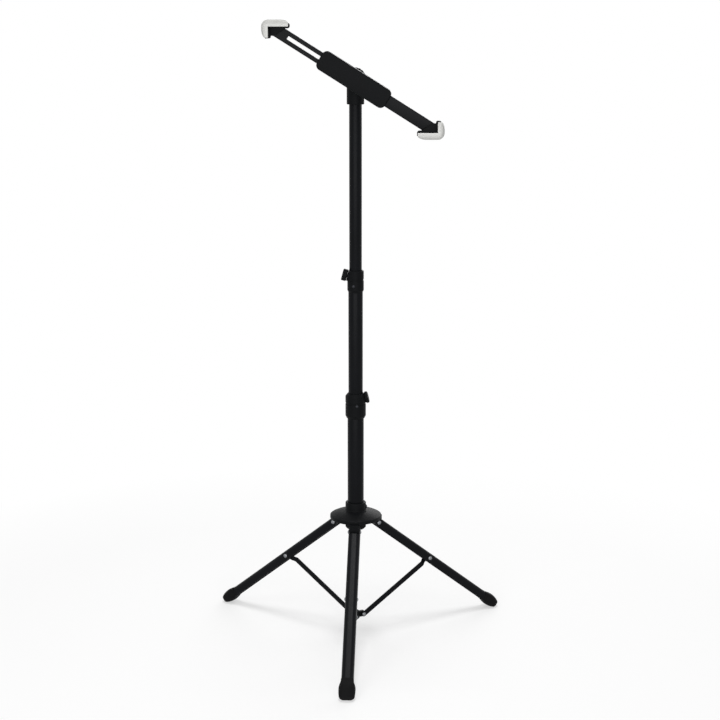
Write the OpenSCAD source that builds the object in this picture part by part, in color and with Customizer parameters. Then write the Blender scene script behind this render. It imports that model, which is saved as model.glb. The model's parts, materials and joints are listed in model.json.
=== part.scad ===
// Folding floor stand: a channel-leg tripod, a three-section mast and a two-claw holder.
// The front leg points along -Y and the holder faces -Y. Lengths are in millimetres.

/* [Tripod] */
// Distance from the mast axis to each leg's end point
foot_spread = 250; // [220:1:300]
// Width of a rubber foot where it is widest
foot_width = 25.2; // [24:0.1:28]
// Thickness of a rubber foot where it is thickest
foot_thick = 19.6; // [18:0.1:22]
// Height of a leg's end point above the floor
foot_height = 10; // [9:0.5:11]
// Length of the foot's sleeve up the leg from that point
foot_sleeve = 20; // [14:0.5:26]
// Length of the foot past that point
foot_nose = 10; // [9.5:0.5:11]
// Distance from the mast axis to a leg's hinge
hinge_radius = 37; // [34:0.5:44]
// Height of the leg hinges above the floor
hinge_height = 180; // [160:1:210]
// Width of the leg channel
leg_width = 18; // [16:0.5:20]
// Height of the leg channel
leg_height = 14; // [13:0.5:16]
// Sheet thickness of the leg channel
leg_wall = 1.2; // [0.8:0.1:1.6]
// Radius of the leg channel's crown corners
leg_corner = 6; // [4:0.5:6.4]
// Distance along the leg from its hinge to the strut's hinge
strut_at = 119; // [105:1:130]

/* [Spreader] */
// Length of a strut between its two hinges
strut_len = 140; // [134:1:150]
// Width of the strut bar
strut_width = 8; // [6:0.5:9]
// Thickness of the strut bar
strut_thick = 2; // [1.5:0.1:3]
// Distance from the mast axis to the lower strut hinges
spreader_radius = 12; // [11:0.5:15]
// Radius of the spreader's boss
spreader_boss = 6; // [4:0.5:6.4]
// Thickness of a spreader lug
lug_thick = 6; // [4:0.5:7]

/* [Hub] */
// Radius of the hub's domed flange
flange_radius = 40; // [38:0.5:48]
// Thickness of the flange at its rim
flange_rim = 5; // [4:0.5:7]
// Rise of the dome from the rim to the mast axis
dome_rise = 10; // [8:0.5:14]
// Radius of the hub's neck and sleeve
neck_radius = 16; // [15:0.5:18]
// Height of the neck above the rim
neck_height = 21; // [18:0.5:30]

/* [Mast] */
// Outside diameter of the lower tube
lower_dia = 25; // [24.8:0.1:26]
// Outside diameter of the middle tube
middle_dia = 22; // [21.6:0.1:22.2]
// Outside diameter of the upper tube
upper_dia = 19; // [18.4:0.1:19.2]
// Wall of all three tubes
tube_wall = 1.2; // [1:0.05:1.25]
// Length of the lower tube
lower_len = 199.5; // [150:0.5:260]
// Length of the middle tube that shows between the two collars
middle_show = 156; // [60:1:200]
// Length of the middle tube inside the lower one
middle_lap = 40.5; // [30:0.5:60]
// Length of the upper tube that shows between its collar and the head
upper_show = 248.5; // [100:0.5:300]
// Length of the upper tube inside the middle one
upper_lap = 38.5; // [30:0.5:60]

/* [Collars] */
// Radius of the lower collar
lower_collar_r = 15.75; // [15:0.25:18]
// Radius of the middle collar
middle_collar_r = 12.5; // [12.25:0.05:14]
// Length of the lower collar that grips its own tube
lower_grip = 25; // [18:0.5:34]
// Length of the middle collar that grips its own tube
middle_grip = 22; // [16:0.5:30]
// Length of the lower collar above its own tube
lower_head = 14; // [13:0.5:18]
// Length of the middle collar above its own tube
middle_head = 13; // [12.5:0.5:18]
// Upward tilt of the collar knobs
knob_tilt = 15; // [10:1:20]
// Radius of the clamp knobs
knob_radius = 9; // [7:0.1:9.4]
// Thickness of the clamp knobs
knob_thick = 6; // [4:0.5:8]
// Radius of the clamp screws
screw_radius = 2.4; // [1.5:0.1:3]

/* [Ball head] */
// Radius of the ball
ball_radius = 8.5; // [8:0.1:9]
// Distance from the mast axis forward to the ball's middle
ball_forward = 18; // [17:0.5:20]
// Height of the ball above the upper tube's end
ball_rise = 22; // [20:0.5:30]
// Radius of the head's sleeve and cup
head_radius = 13; // [12:0.25:15]
// Length of the sleeve that holds the upper tube
head_grip = 16; // [15:0.5:30]
// Radius of the lock ring
ring_radius = 16.5; // [15.5:0.25:20]
// Radius of the ball stud's neck
stud_radius = 3.5; // [2.5:0.1:4]

/* [Holder] */
// Width between the claws' side walls
grip_w = 249; // [220:1:290]
// Height between the claws' end walls
grip_h = 155; // [130:1:200]
// Distance from the mast axis forward to the holder's back face
holder_back = 36; // [34.5:0.5:42]
// Length of the holder's housing
housing_len = 116; // [110:1:122]
// Width of the holder's housing
housing_w = 30; // [29:0.5:36]
// Thickness of the housing's back wall
housing_wall = 5; // [4.5:0.25:8]
// Width of the two arms
arm_w = 18; // [15:0.5:19]
// Thickness of the two arms
arm_t = 5.8; // [4:0.1:8]
// Thickness of the housing's front cover
cover_t = 4; // [3:0.25:6]
// Distance that the sliding arm can draw in
arm_in = 60; // [40:1:60]
// Distance that the sliding arm can still pull out
arm_out = 12; // [5:1:16]

/* [Claws] */
// Length of a claw pad's long arm from its outer corner
pad_long = 36; // [28:0.5:44]
// Length of a claw pad's short arm from its outer corner
pad_short = 23; // [19:0.5:30]
// Thickness of the claw pad outside the gripped edge
pad_wall = 7.5; // [5:0.25:9]
// Overhang of the pad's front lip over the gripped edge
pad_lip = 2.3; // [1:0.1:3]
// Thickness of the front lip
lip_t = 3; // [2:0.25:4]
// Depth of the gap behind the front lip
grip_depth = 10; // [7:0.5:14]
// Thickness of the black upstand inside the pad
rib_t = 2.2; // [1.5:0.1:3]

/* [Hidden] */
$fn = 64;

// Clearances
pin_gap = 0.05;
flat_gap = 0.1;
slide_gap = 0.3;
cut = 1;

// Colours
powder_black = "#1b1c1f";
moulded_black = "#222326";
rubber_black = "#151515";
bright_steel = "#c9cbcd";
pad_grey = "#dcdcda";

// Tripod geometry: the front, right and left legs, then a leg's slope and length
FRONT = -90;
RIGHT = 30;
LEFT = 150;
mast_y = foot_spread / 4;
leg_run = foot_spread - hinge_radius;
leg_drop = hinge_height - foot_height;
leg_slope = atan2(leg_drop, leg_run);
leg_len = norm([leg_run, leg_drop]);
leg_inner = leg_width - 2 * leg_wall;
leg_in_foot = 4;
crown_cut = 7;
hinge_pin = 2.2;
strut_pin = 2;
rivet_head = 3.2;
rivet_rise = 1.6;
foot_lip = 1.2;
foot_belly = 3;
foot_sag = 0.3;
foot_trim = 0.8;
foot_flat = 6.5;

// Strut linkage: the strut's upper hinge, then the spreader's height that the strut's length gives
strut_r = hinge_radius + strut_at * cos(leg_slope);
strut_z = hinge_height - strut_at * sin(leg_slope);
strut_slope = acos((strut_r - spreader_radius) / strut_len);
spreader_z = strut_z - strut_len * sin(strut_slope);
lug_gap = 0.95;
strut_offset = lug_thick / 2 + lug_gap + strut_thick / 2;
crank_from = 8;
crank_run = 8;
tab_radius = 5;
pin_shoulder = 3.4;
lug_radius = 4.6;
boss_over = 0.8;
boss_dome = 3;
boss_half = lug_radius + boss_over;
end_rivet = 3;
end_rise = 1.4;

// Hub heights
flange_over = 12;
flange_z = hinge_height + flange_over;
rim_z = flange_z + flange_rim;
dome_radius = (flange_radius ^ 2 + dome_rise ^ 2) / (2 * dome_rise);
neck_z = rim_z + neck_height;
neck_round = 4;
sleeve_drop = 4;
sleeve_z = hinge_height - sleeve_drop;
sleeve_floor = 3;
sleeve_bevel = 3;
tongue_w = leg_inner - 2 * slide_gap;
tongue_radius = leg_height / 2 - leg_wall - slide_gap;
hub_web = 8;
hub_screw_z = neck_z - 8;
hub_screw_head = 3.4;
hub_screw_rise = 2;

// Mast heights
lower_r = lower_dia / 2;
lower_in = lower_r - tube_wall;
middle_r = middle_dia / 2;
middle_in = middle_r - tube_wall;
upper_r = upper_dia / 2;
upper_in = upper_r - tube_wall;
lower_z = sleeve_z + sleeve_floor;
lower_top = lower_z + lower_len;
lower_collar_z = lower_top - lower_grip;
lower_collar_top = lower_top + lower_head;
middle_z = lower_top - middle_lap;
middle_collar_z = lower_collar_top + middle_show;
middle_top = middle_collar_z + middle_grip;
middle_collar_top = middle_top + middle_head;
upper_z = middle_top - upper_lap;
head_z = middle_collar_top + upper_show;
upper_top = head_z + head_grip;
ball_z = upper_top + ball_rise;
bush_flange = 3;
bush_spigot = 8;
bush_bore = 6;

// Collar details: how far a knob's axis starts below the collar's top, and its seat along that axis
collar_bevel = 2;
shoulder_rise = 1.3;
lower_shoulder = 3.4;
middle_shoulder = 1;
waist_w = 3;
waist_d = 0.5;
lower_knob_drop = 11;
middle_knob_drop = 11.5;
lower_seat_out = -0.4;
middle_seat_out = 0.8;
head_seat_out = 2;
lower_knob_seat = lower_collar_r + lower_seat_out;
middle_knob_seat = middle_collar_r + middle_seat_out;
boss_radius = 6.2;
boss_foot = 7.6;
knob_flutes = 10;
flute_radius = 1.5;
knob_bevel = 0.8;
collar_rivet = 2.3;
collar_rivet_rise = 1.1;
lower_rivet_az = FRONT + 10;
middle_rivet_az = FRONT - 12;
lower_rivet_up = 21;
middle_rivet_up = 12;
lower_rivet_z = lower_collar_z + lower_rivet_up;
middle_rivet_z = middle_collar_z + middle_rivet_up;

// Ball head: distances forward of the mast axis
cup_over = 2.2;
cup_mouth = ball_forward + cup_over;
knuckle_over = 0.7;
knuckle_r = head_radius + knuckle_over;
cup_radius = head_radius - knuckle_over;
cup_step = knuckle_r + knuckle_over;
thread_depth = 1;
cup_thread = cup_radius - thread_depth;
ring_over = 4.5;
ring_front = ball_forward + ring_over;
ring_seat = cup_mouth + slide_gap;
ring_flutes = 20;
ring_flute = 1;
head_knob_z = head_z + head_grip / 2;
head_knob_seat = head_radius + head_seat_out;
swivel_disc = 9;
swivel_disc_t = 2.8;
swivel_pocket = swivel_disc_t + 2 * flat_gap;
swivel_plate_r = 15;
swivel_plate_t = 2.5;
swivel_screw_at = 12;
small_screw = 1.5;
small_head = 2.6;
small_rise = 1.5;

// Holder: distances forward of the mast axis, then places along the diagonal from the ball's axis
diagonal = atan2(grip_h, grip_w);
corner_at = norm([grip_w, grip_h]) / 2;
channel_f = holder_back + housing_wall;
channel_w = arm_w + 4 * flat_gap;
channel_t = arm_t + 2 * flat_gap;
cover_f = channel_f + channel_t;
holder_front = cover_f + cover_t;
housing_round = 8;
slide_arm_end = 26;
arm_parting = 3;
fixed_arm_end = arm_in - slide_arm_end + arm_parting;
arm_knob_at = housing_len / 2 - housing_round;
arm_knob_r = 8;
arm_knob_t = 7;
slot_half = screw_radius + 2 * flat_gap;
holder_screw_x = housing_len / 2 - housing_round;
holder_screw_z = (housing_w + channel_w) / 4;

// Claws: sizes from the gripped corner
base_bar = 5;
base_over = 6;
base_corner = 6;
base_long = pad_long - pad_wall + base_over;
base_short = pad_short - pad_wall + base_over;
base_tongue = 16;
claw_screw_back = 9;
claw_screw_side = 5;
pad_corner = 10;
pad_end = 7;
lip_end = 1.5;

module at_mast() {
    translate([0, mast_y, 0])
        children();
}

module leg_frame(az) {
    at_mast()
        rotate([0, 0, az])
            translate([hinge_radius, 0, hinge_height])
                rotate([0, leg_slope, 0])
                    children();
}

module strut_frame(az) {
    at_mast()
        rotate([0, 0, az])
            translate([strut_r, 0, strut_z])
                rotate([0, 180 - strut_slope, 0])
                    children();
}

// A frame whose +X is a clamp screw's axis, from the mast axis outwards and up
module knob_frame(az, z, tilt) {
    at_mast()
        translate([0, 0, z])
            rotate([0, 0, az])
                rotate([0, -tilt, 0])
                    children();
}

// The holder's own frame: +X runs along the diagonal towards the lower claw
module holder_frame() {
    at_mast()
        translate([0, 0, ball_z])
            rotate([0, diagonal, 0])
                children();
}

// A claw's frame: +X along its long arm and +Z along its short arm, from the gripped corner inwards
module claw_frame(upper) {
    turn = upper ? 0 : 180;
    at_mast()
        translate([0, 0, ball_z])
            rotate([0, turn, 0])
                translate([-grip_w / 2, 0, grip_h / 2])
                    mirror([0, 0, 1])
                        children();
}

// A flat outline in X and Z, from a distance forward of the mast axis to a depth in front of it
module forward_plate(from, depth) {
    translate([0, -from, 0])
        rotate([90, 0, 0])
            linear_extrude(depth)
                children();
}

module across(r, length) {
    rotate([90, 0, 0])
        cylinder(r = r, h = length, center = true);
}

module along(r, from, to) {
    translate([from, 0, 0])
        rotate([0, 90, 0])
            cylinder(r = r, h = to - from);
}

module forward(r, from, to) {
    translate([0, -from, 0])
        rotate([90, 0, 0])
            cylinder(r = r, h = to - from);
}

// The waste outside a rounded corner at the origin, for a shape that fills the first quadrant
module corner_waste(r) {
    difference() {
        translate([-cut, -cut])
            square(r + cut);
        translate([r, r])
            circle(r);
    }
}

// A rivet across Y: a shank and two domed heads outside the given width
module rivet(shank, head, rise, width) {
    across(shank, width + 2 * flat_gap);
    for (side = [-1, 1])
        scale([1, side, 1])
            translate([0, width / 2 + flat_gap, 0])
                domed_head(head, rise);
}

// A domed head that stands on Y = 0 and rises along +Y
module domed_head(r, rise) {
    dome = (r ^ 2 + rise ^ 2) / (2 * rise);
    rotate([-90, 0, 0])
        rotate_extrude()
            intersection() {
                translate([0, rise - dome])
                    circle(dome);
                square([r, rise]);
            }
}

// The leg channel's outline, drawn in by a wall and dropped below its open edge
module channel_outline(inset, below) {
    half = leg_width / 2 - inset;
    top = leg_height / 2 - inset;
    bottom = -leg_height / 2 - below;
    r = leg_corner - inset;
    translate([-half, bottom])
        square([2 * half, top - r - bottom]);
    translate([r - half, bottom])
        square([2 * (half - r), top - bottom]);
    for (side = [-1, 1])
        translate([side * (half - r), top - r])
            circle(r);
}

module channel(from, to, grow) {
    difference() {
        translate([from, 0, 0])
            rotate([90, 0, 90])
                linear_extrude(to - from)
                    channel_outline(-grow, grow);
        translate([from - cut, 0, 0])
            rotate([90, 0, 90])
                linear_extrude(to - from + 2 * cut)
                    channel_outline(leg_wall + grow, cut);
    }
}

// Tripod

module tripod_hub() {
    color(moulded_black)
        difference() {
            union() {
                at_mast()
                    rotate_extrude()
                        hub_profile();
                for (az = [FRONT, RIGHT, LEFT])
                    at_mast()
                        rotate([0, 0, az])
                            hub_tongue();
            }
            at_mast()
                translate([0, 0, lower_z])
                    cylinder(r = lower_r + pin_gap, h = neck_z);
            for (az = [FRONT, RIGHT, LEFT])
                leg_frame(az)
                    across(hinge_pin + pin_gap, leg_width);
            knob_frame(0, hub_screw_z, 0)
                along(small_screw + pin_gap, 0, neck_radius + cut);
        }
}

module hub_profile() {
    // domed flange
    intersection() {
        translate([0, rim_z + dome_rise - dome_radius])
            circle(dome_radius, $fn = 128);
        translate([0, flange_z])
            square([flange_radius, flange_rim + dome_rise]);
    }
    // neck with a rounded top
    difference() {
        translate([0, flange_z])
            square([neck_radius, neck_z - flange_z]);
        translate([neck_radius, neck_z])
            rotate(180)
                corner_waste(neck_round);
    }
    // sleeve with a bevelled foot
    polygon([[0, sleeve_z], [neck_radius - sleeve_bevel, sleeve_z], [neck_radius, sleeve_z + sleeve_bevel],
             [neck_radius, flange_z + cut], [0, flange_z + cut]]);
}

// A leg's tongue under the flange, with a web back to the sleeve
module hub_tongue() {
    translate([hinge_radius, 0, hinge_height])
        across(tongue_radius, tongue_w);
    translate([hinge_radius - tongue_radius, -tongue_w / 2, hinge_height])
        cube([2 * tongue_radius, tongue_w, flange_z - hinge_height + cut]);
    translate([neck_radius - cut, -hub_web / 2, hinge_height])
        cube([hinge_radius - neck_radius, hub_web, flange_z - hinge_height + cut]);
}

module hub_screw() {
    color(bright_steel)
        knob_frame(0, hub_screw_z, 0) {
            along(small_screw, lower_r + flat_gap, neck_radius + flat_gap);
            translate([neck_radius, 0, 0])
                rotate([0, 0, -90])
                    domed_head(hub_screw_head, hub_screw_rise);
        }
}

module leg_rivets() {
    color(bright_steel)
        for (az = [FRONT, RIGHT, LEFT])
            leg_frame(az)
                rivet(hinge_pin, rivet_head, rivet_rise, leg_width);
}

module leg(az) {
    color(powder_black)
        leg_frame(az)
            difference() {
                intersection() {
                    channel(-leg_height, leg_len - leg_in_foot, 0);
                    union() {
                        across(leg_height / 2, leg_width + cut);
                        translate([0, -leg_width, -leg_height])
                            cube([leg_len, 2 * leg_width, 2 * leg_height]);
                    }
                }
                // crown cut back so that the hub's tongue can swing
                translate([-leg_height, -leg_inner / 2, 0])
                    cube([leg_height + crown_cut, leg_inner, leg_height]);
                across(hinge_pin + pin_gap, leg_width + cut);
                translate([strut_at, 0, 0])
                    across(strut_pin + pin_gap, leg_width + cut);
            }
}

module foot(az) {
    color(rubber_black)
        difference() {
            leg_frame(az)
                difference() {
                    translate([leg_len, 0, 0])
                        intersection() {
                            rotate([0, 90, 0])
                                rotate(180)
                                    rotate_extrude()
                                        foot_profile();
                            rotate([90, 0, 0])
                                linear_extrude(2 * foot_width, center = true)
                                    foot_outline(foot_thick / 2, leg_height / 2 + foot_lip);
                            linear_extrude(2 * foot_width, center = true)
                                foot_outline(foot_width / 2, leg_width / 2 + foot_lip);
                        }
                    channel(leg_len - 2 * foot_sleeve, leg_len - leg_in_foot + pin_gap, pin_gap);
                }
            // flat tread on the floor
            translate([-foot_spread * 2, -foot_spread * 2, -foot_spread])
                cube([foot_spread * 4, foot_spread * 4, foot_spread]);
        }
}

// The round that trims a foot's corners and ends in a blunt nose
module foot_profile() {
    trim_r = foot_width / 2 + foot_trim;
    nose_r = trim_r - foot_flat;
    translate([0, -foot_sleeve])
        square([trim_r, foot_sleeve + foot_nose - nose_r]);
    translate([0, foot_nose - nose_r]) {
        square([foot_flat, nose_r]);
        translate([foot_flat, 0])
            intersection() {
                circle(nose_r);
                square(nose_r);
            }
    }
}

// A foot's outline in one view: two long arcs that meet the mouth and are widest at the belly
module foot_outline(half, mouth) {
    sag = max(half - mouth, foot_sag);
    arc_r = ((foot_sleeve - foot_belly) ^ 2 + sag ^ 2) / (2 * sag);
    intersection() {
        translate([-foot_sleeve, -2 * half])
            square([foot_sleeve + foot_nose + cut, 4 * half]);
        translate([-foot_belly, half - arc_r])
            circle(arc_r);
        translate([-foot_belly, arc_r - half])
            circle(arc_r);
    }
}

// A shouldered rivet that carries the strut in the middle of the leg channel and ends inside the crown's corners
module strut_pin(az) {
    above = max(pin_shoulder + leg_corner - leg_height / 2, 0);
    inside = leg_width / 2 - leg_corner + sqrt((leg_corner - leg_wall) ^ 2 - above ^ 2);
    shoulder = inside - strut_thick / 2 - 2 * pin_gap;
    color(bright_steel)
        leg_frame(az)
            translate([strut_at, 0, 0]) {
                rivet(strut_pin, rivet_head, rivet_rise, leg_width);
                for (side = [-1, 1])
                    translate([0, side * (strut_thick / 2 + pin_gap + shoulder / 2), 0])
                        across(pin_shoulder, shoulder);
            }
}

// A flat bar cranked from the middle of the channel to the side of the spreader's lug
module strut(az) {
    half = strut_thick / 2;
    bend = atan2(strut_offset, crank_run) / 2;
    lead = half * tan(bend);
    color(powder_black)
        strut_frame(az)
            difference() {
                union() {
                    translate([0, 0, -strut_width / 2])
                        linear_extrude(strut_width)
                            polygon([[0, half], [crank_from + lead, half],
                                     [crank_from + crank_run + lead, half - strut_offset],
                                     [strut_len, half - strut_offset], [strut_len, -half - strut_offset],
                                     [crank_from + crank_run - lead, -half - strut_offset],
                                     [crank_from - lead, -half], [0, -half]]);
                    across(tab_radius, strut_thick);
                    translate([strut_len, -strut_offset, 0])
                        across(strut_width / 2, strut_thick);
                }
                across(strut_pin + pin_gap, strut_thick + cut);
                translate([strut_len, -strut_offset, 0])
                    across(end_rivet / 2 + pin_gap, strut_thick + cut);
            }
}

// The rivet head that shows on a strut's lower end
module strut_end(az) {
    color(bright_steel)
        strut_frame(az)
            translate([strut_len, -strut_offset - strut_thick / 2, 0])
                scale([1, -1, 1]) {
                    domed_head(end_rivet, end_rise);
                    translate([0, -strut_thick / 2, 0])
                        across(end_rivet / 2, strut_thick);
                }
}

module spreader() {
    color(moulded_black)
        at_mast()
            translate([0, 0, spreader_z]) {
                cylinder(r = spreader_boss, h = 2 * boss_half, center = true);
                // domed ends of the boss
                for (end = [-1, 1])
                    scale([1, 1, end])
                        translate([0, 0, boss_half])
                            rotate([90, 0, 0])
                                domed_head(spreader_boss, boss_dome);
                for (az = [FRONT, RIGHT, LEFT])
                    rotate([0, 0, az]) {
                        translate([0, -lug_thick / 2, -lug_radius])
                            cube([spreader_radius, lug_thick, 2 * lug_radius]);
                        translate([spreader_radius, 0, 0])
                            across(lug_radius, lug_thick);
                    }
            }
}

// Rivet heads on the lugs' free sides
module spreader_rivets() {
    color(bright_steel)
        for (az = [FRONT, RIGHT, LEFT])
            at_mast()
                rotate([0, 0, az])
                    translate([spreader_radius, lug_thick / 2, spreader_z])
                        domed_head(end_rivet, end_rise);
}

// Mast

module tube(r, inner, from, to) {
    at_mast()
        translate([0, 0, from])
            difference() {
                cylinder(r = r, h = to - from);
                translate([0, 0, -cut])
                    cylinder(r = inner, h = to - from + 2 * cut);
            }
}

// A collar that grips one tube and closes down on the next, with a slanted seat for its clamp knob
module collar(tube_r, next_r, r, from, step, top, shoulder, az, drop, seat) {
    color(moulded_black)
        difference() {
            union() {
                at_mast()
                    rotate_extrude()
                        difference() {
                            polygon([[0, from], [r - collar_bevel, from], [r, from + 2 * collar_bevel],
                                     [r, top - shoulder_rise * shoulder], [r - shoulder, top], [0, top]]);
                            translate([r - waist_d, step - waist_w])
                                square([waist_d + cut, waist_w]);
                        }
                knob_frame(az, top - drop, knob_tilt)
                    translate([next_r, 0, 0])
                        rotate([0, 90, 0])
                            cylinder(r1 = boss_foot, r2 = boss_radius, h = seat - slide_gap - next_r);
            }
            at_mast() {
                translate([0, 0, from - cut])
                    cylinder(r = tube_r + pin_gap, h = step - from + cut);
                translate([0, 0, from])
                    cylinder(r = next_r + slide_gap, h = 2 * (top - from));
            }
            knob_frame(az, top - drop, knob_tilt) {
                along(screw_radius + pin_gap, 0, seat);
                along(knob_radius + slide_gap, seat - slide_gap, seat + 4 * knob_thick);
            }
        }
}

// A fluted knob on a clamp screw whose tip stops just short of the tube inside
module knob(az, z, tilt, tube_r, seat) {
    tip = (tube_r + slide_gap + screw_radius * sin(tilt)) / cos(tilt);
    color(moulded_black)
        knob_frame(az, z, tilt) {
            along(screw_radius, tip, seat + knob_thick / 2);
            translate([seat, 0, 0])
                rotate([0, 90, 0])
                    fluted_knob(knob_radius, knob_thick, knob_flutes, flute_radius);
        }
}

// A round knob on Z = 0 with bevelled rims and flutes round its side
module fluted_knob(r, t, flutes, flute) {
    difference() {
        rotate_extrude()
            polygon([[0, 0], [r - knob_bevel, 0], [r, knob_bevel], [r, t - knob_bevel], [r - knob_bevel, t], [0, t]]);
        for (i = [0 : flutes - 1])
            rotate(i * 360 / flutes)
                translate([r + flute / 2, 0, -cut])
                    cylinder(r = flute, h = t + 2 * cut);
    }
}

// A rivet head that pins a collar to its tube
module collar_pin(tube_r, r, az, z) {
    color(bright_steel)
        knob_frame(az, z, 0) {
            along(collar_rivet / 2, tube_r + flat_gap, r + flat_gap);
            translate([r, 0, 0])
                rotate([0, 0, -90])
                    domed_head(collar_rivet, collar_rivet_rise);
        }
}

// A plastic bush plugged into a tube's lower end, which guides it in the next tube
module bush(guide_r, inner, z) {
    color(moulded_black)
        at_mast()
            difference() {
                union() {
                    translate([0, 0, z - bush_flange])
                        cylinder(r = guide_r - pin_gap, h = bush_flange);
                    translate([0, 0, z])
                        cylinder(r = inner - pin_gap, h = bush_spigot);
                }
                translate([0, 0, z - bush_flange - cut])
                    cylinder(r = bush_bore, h = bush_flange + bush_spigot + 2 * cut);
            }
}

module lower_tube() {
    color(powder_black)
        tube(lower_r, lower_in, lower_z, lower_top);
}

module lower_collar() {
    difference() {
        collar(lower_r, middle_r, lower_collar_r, lower_collar_z, lower_top, lower_collar_top,
               lower_shoulder, 0, lower_knob_drop, lower_knob_seat);
        knob_frame(lower_rivet_az, lower_rivet_z, 0)
            along(collar_rivet / 2 + pin_gap, 0, lower_collar_r + cut);
    }
}

module lower_collar_rivet() {
    collar_pin(lower_r, lower_collar_r, lower_rivet_az, lower_rivet_z);
}

module lower_knob() {
    knob(0, lower_collar_top - lower_knob_drop, knob_tilt, middle_r, lower_knob_seat);
}

module middle_tube() {
    color(powder_black)
        tube(middle_r, middle_in, middle_z, middle_top);
}

module middle_bush() {
    bush(lower_in, middle_in, middle_z);
}

module middle_collar() {
    difference() {
        collar(middle_r, upper_r, middle_collar_r, middle_collar_z, middle_top, middle_collar_top,
               middle_shoulder, 180, middle_knob_drop, middle_knob_seat);
        knob_frame(middle_rivet_az, middle_rivet_z, 0)
            along(collar_rivet / 2 + pin_gap, 0, middle_collar_r + cut);
    }
}

module middle_collar_rivet() {
    collar_pin(middle_r, middle_collar_r, middle_rivet_az, middle_rivet_z);
}

module middle_knob() {
    knob(180, middle_collar_top - middle_knob_drop, knob_tilt, upper_r, middle_knob_seat);
}

module upper_tube() {
    color(powder_black)
        tube(upper_r, upper_in, upper_z, upper_top);
}

module upper_bush() {
    bush(middle_in, upper_in, upper_z);
}

// Ball head

// A sleeve on the upper tube that bends forward into the ball's cup
module mast_head() {
    color(moulded_black)
        difference() {
            at_mast() {
                translate([0, 0, head_z])
                    cylinder(r = head_radius, h = ball_z - head_z);
                translate([0, 0, ball_z]) {
                    sphere(knuckle_r);
                    forward(cup_radius, 0, cup_step);
                    forward(cup_thread, 0, cup_mouth);
                }
                translate([0, 0, head_knob_z])
                    rotate([0, 0, -FRONT])
                        along(boss_radius, 0, head_knob_seat - slide_gap);
            }
            at_mast() {
                translate([0, 0, head_z - cut])
                    cylinder(r = upper_r + pin_gap, h = head_grip + cut);
                translate([0, -ball_forward, ball_z])
                    sphere(ball_radius + slide_gap);
                translate([0, 0, ball_z])
                    forward(ball_radius + slide_gap, ball_forward, cup_mouth + cut);
            }
            knob_frame(-FRONT, head_knob_z, 0)
                along(screw_radius + pin_gap, 0, head_knob_seat);
        }
}

module head_knob() {
    knob(-FRONT, head_knob_z, 0, upper_r, head_knob_seat);
}

// A fluted ring that screws on the cup and closes over the front of the ball
module lock_ring() {
    color(moulded_black)
        at_mast()
            translate([0, 0, ball_z])
                difference() {
                    translate([0, -cup_step - slide_gap, 0])
                        rotate([90, 0, 0])
                            fluted_knob(ring_radius, ring_front - cup_step - slide_gap, ring_flutes, ring_flute);
                    forward(cup_thread + slide_gap, 0, ring_seat);
                    translate([0, -ball_forward, 0])
                        sphere(ball_radius + slide_gap);
                }
}

module ball_stud() {
    color(bright_steel)
        at_mast()
            translate([0, 0, ball_z]) {
                translate([0, -ball_forward, 0])
                    sphere(ball_radius);
                forward(stud_radius, ball_forward, holder_back + swivel_disc_t / 2);
                forward(swivel_disc, holder_back + flat_gap, holder_back + flat_gap + swivel_disc_t);
            }
}

// Holder

module swivel_plate() {
    color(moulded_black)
        holder_frame()
            difference() {
                forward(swivel_plate_r, holder_back - swivel_plate_t, holder_back);
                forward(stud_radius + slide_gap, 0, holder_back + cut);
                swivel_screw_places()
                    forward(small_screw + pin_gap, 0, holder_back + cut);
            }
}

module swivel_screw_places() {
    for (turn = [90, 210, 330])
        rotate([0, turn, 0])
            translate([swivel_screw_at, 0, 0])
                children();
}

// A screw driven forward, with its head behind the given distance
module small_screw(from, length) {
    forward(small_screw, from, from + length);
    translate([0, -from, 0])
        domed_head(small_head, small_rise);
}

module swivel_screws() {
    color(bright_steel)
        holder_frame()
            swivel_screw_places()
                small_screw(holder_back - swivel_plate_t, swivel_plate_t + housing_wall - cut);
}

module housing_outline() {
    difference() {
        square([housing_len, housing_w], center = true);
        for (sx = [-1, 1], sz = [-1, 1])
            scale([sx, sz])
                translate([-housing_len / 2, -housing_w / 2])
                    corner_waste(housing_round);
    }
}

module holder_screw_places() {
    for (sx = [-1, 1], sz = [-1, 1])
        translate([sx * holder_screw_x, 0, sz * holder_screw_z])
            children();
}

// The housing's back shell, with a channel for the two arms and a pocket for the stud's disc
module holder_body() {
    color(moulded_black)
        holder_frame()
            difference() {
                forward_plate(holder_back, housing_wall + channel_t)
                    housing_outline();
                forward_plate(channel_f, channel_t + cut)
                    square([housing_len + 2 * cut, channel_w], center = true);
                forward(swivel_disc + pin_gap, 0, holder_back + swivel_pocket);
                swivel_screw_places()
                    forward(small_screw + pin_gap, 0, channel_f - cut / 2);
                holder_screw_places()
                    forward(small_screw + pin_gap, 0, cover_f + cut);
                translate([-arm_knob_at, 0, 0])
                    forward(screw_radius + pin_gap, 0, channel_f + cut);
            }
}

module holder_cover() {
    color(moulded_black)
        holder_frame()
            difference() {
                forward_plate(cover_f, cover_t)
                    housing_outline();
                holder_screw_places()
                    forward(small_screw + pin_gap, 0, holder_front - cut);
                translate([-arm_knob_at, 0, 0])
                    forward(screw_radius + pin_gap, 0, holder_front - cut / 2);
            }
}

module holder_screws() {
    color(bright_steel)
        holder_frame()
            holder_screw_places()
                small_screw(holder_back, cover_f + cover_t / 2 - holder_back);
}

// An arm from a place inside the housing to the claw's corner, with two holes for the claw's screws
module arm(from) {
    end = corner_at - claw_screw_back;
    difference() {
        union() {
            forward_plate(channel_f + flat_gap, arm_t)
                translate([from, -arm_w / 2])
                    square([end - from, arm_w]);
            translate([end, 0, 0])
                forward(arm_w / 2, channel_f + flat_gap, channel_f + flat_gap + arm_t);
        }
        claw_screw_places()
            forward(small_screw + pin_gap, 0, holder_front);
    }
}

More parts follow.
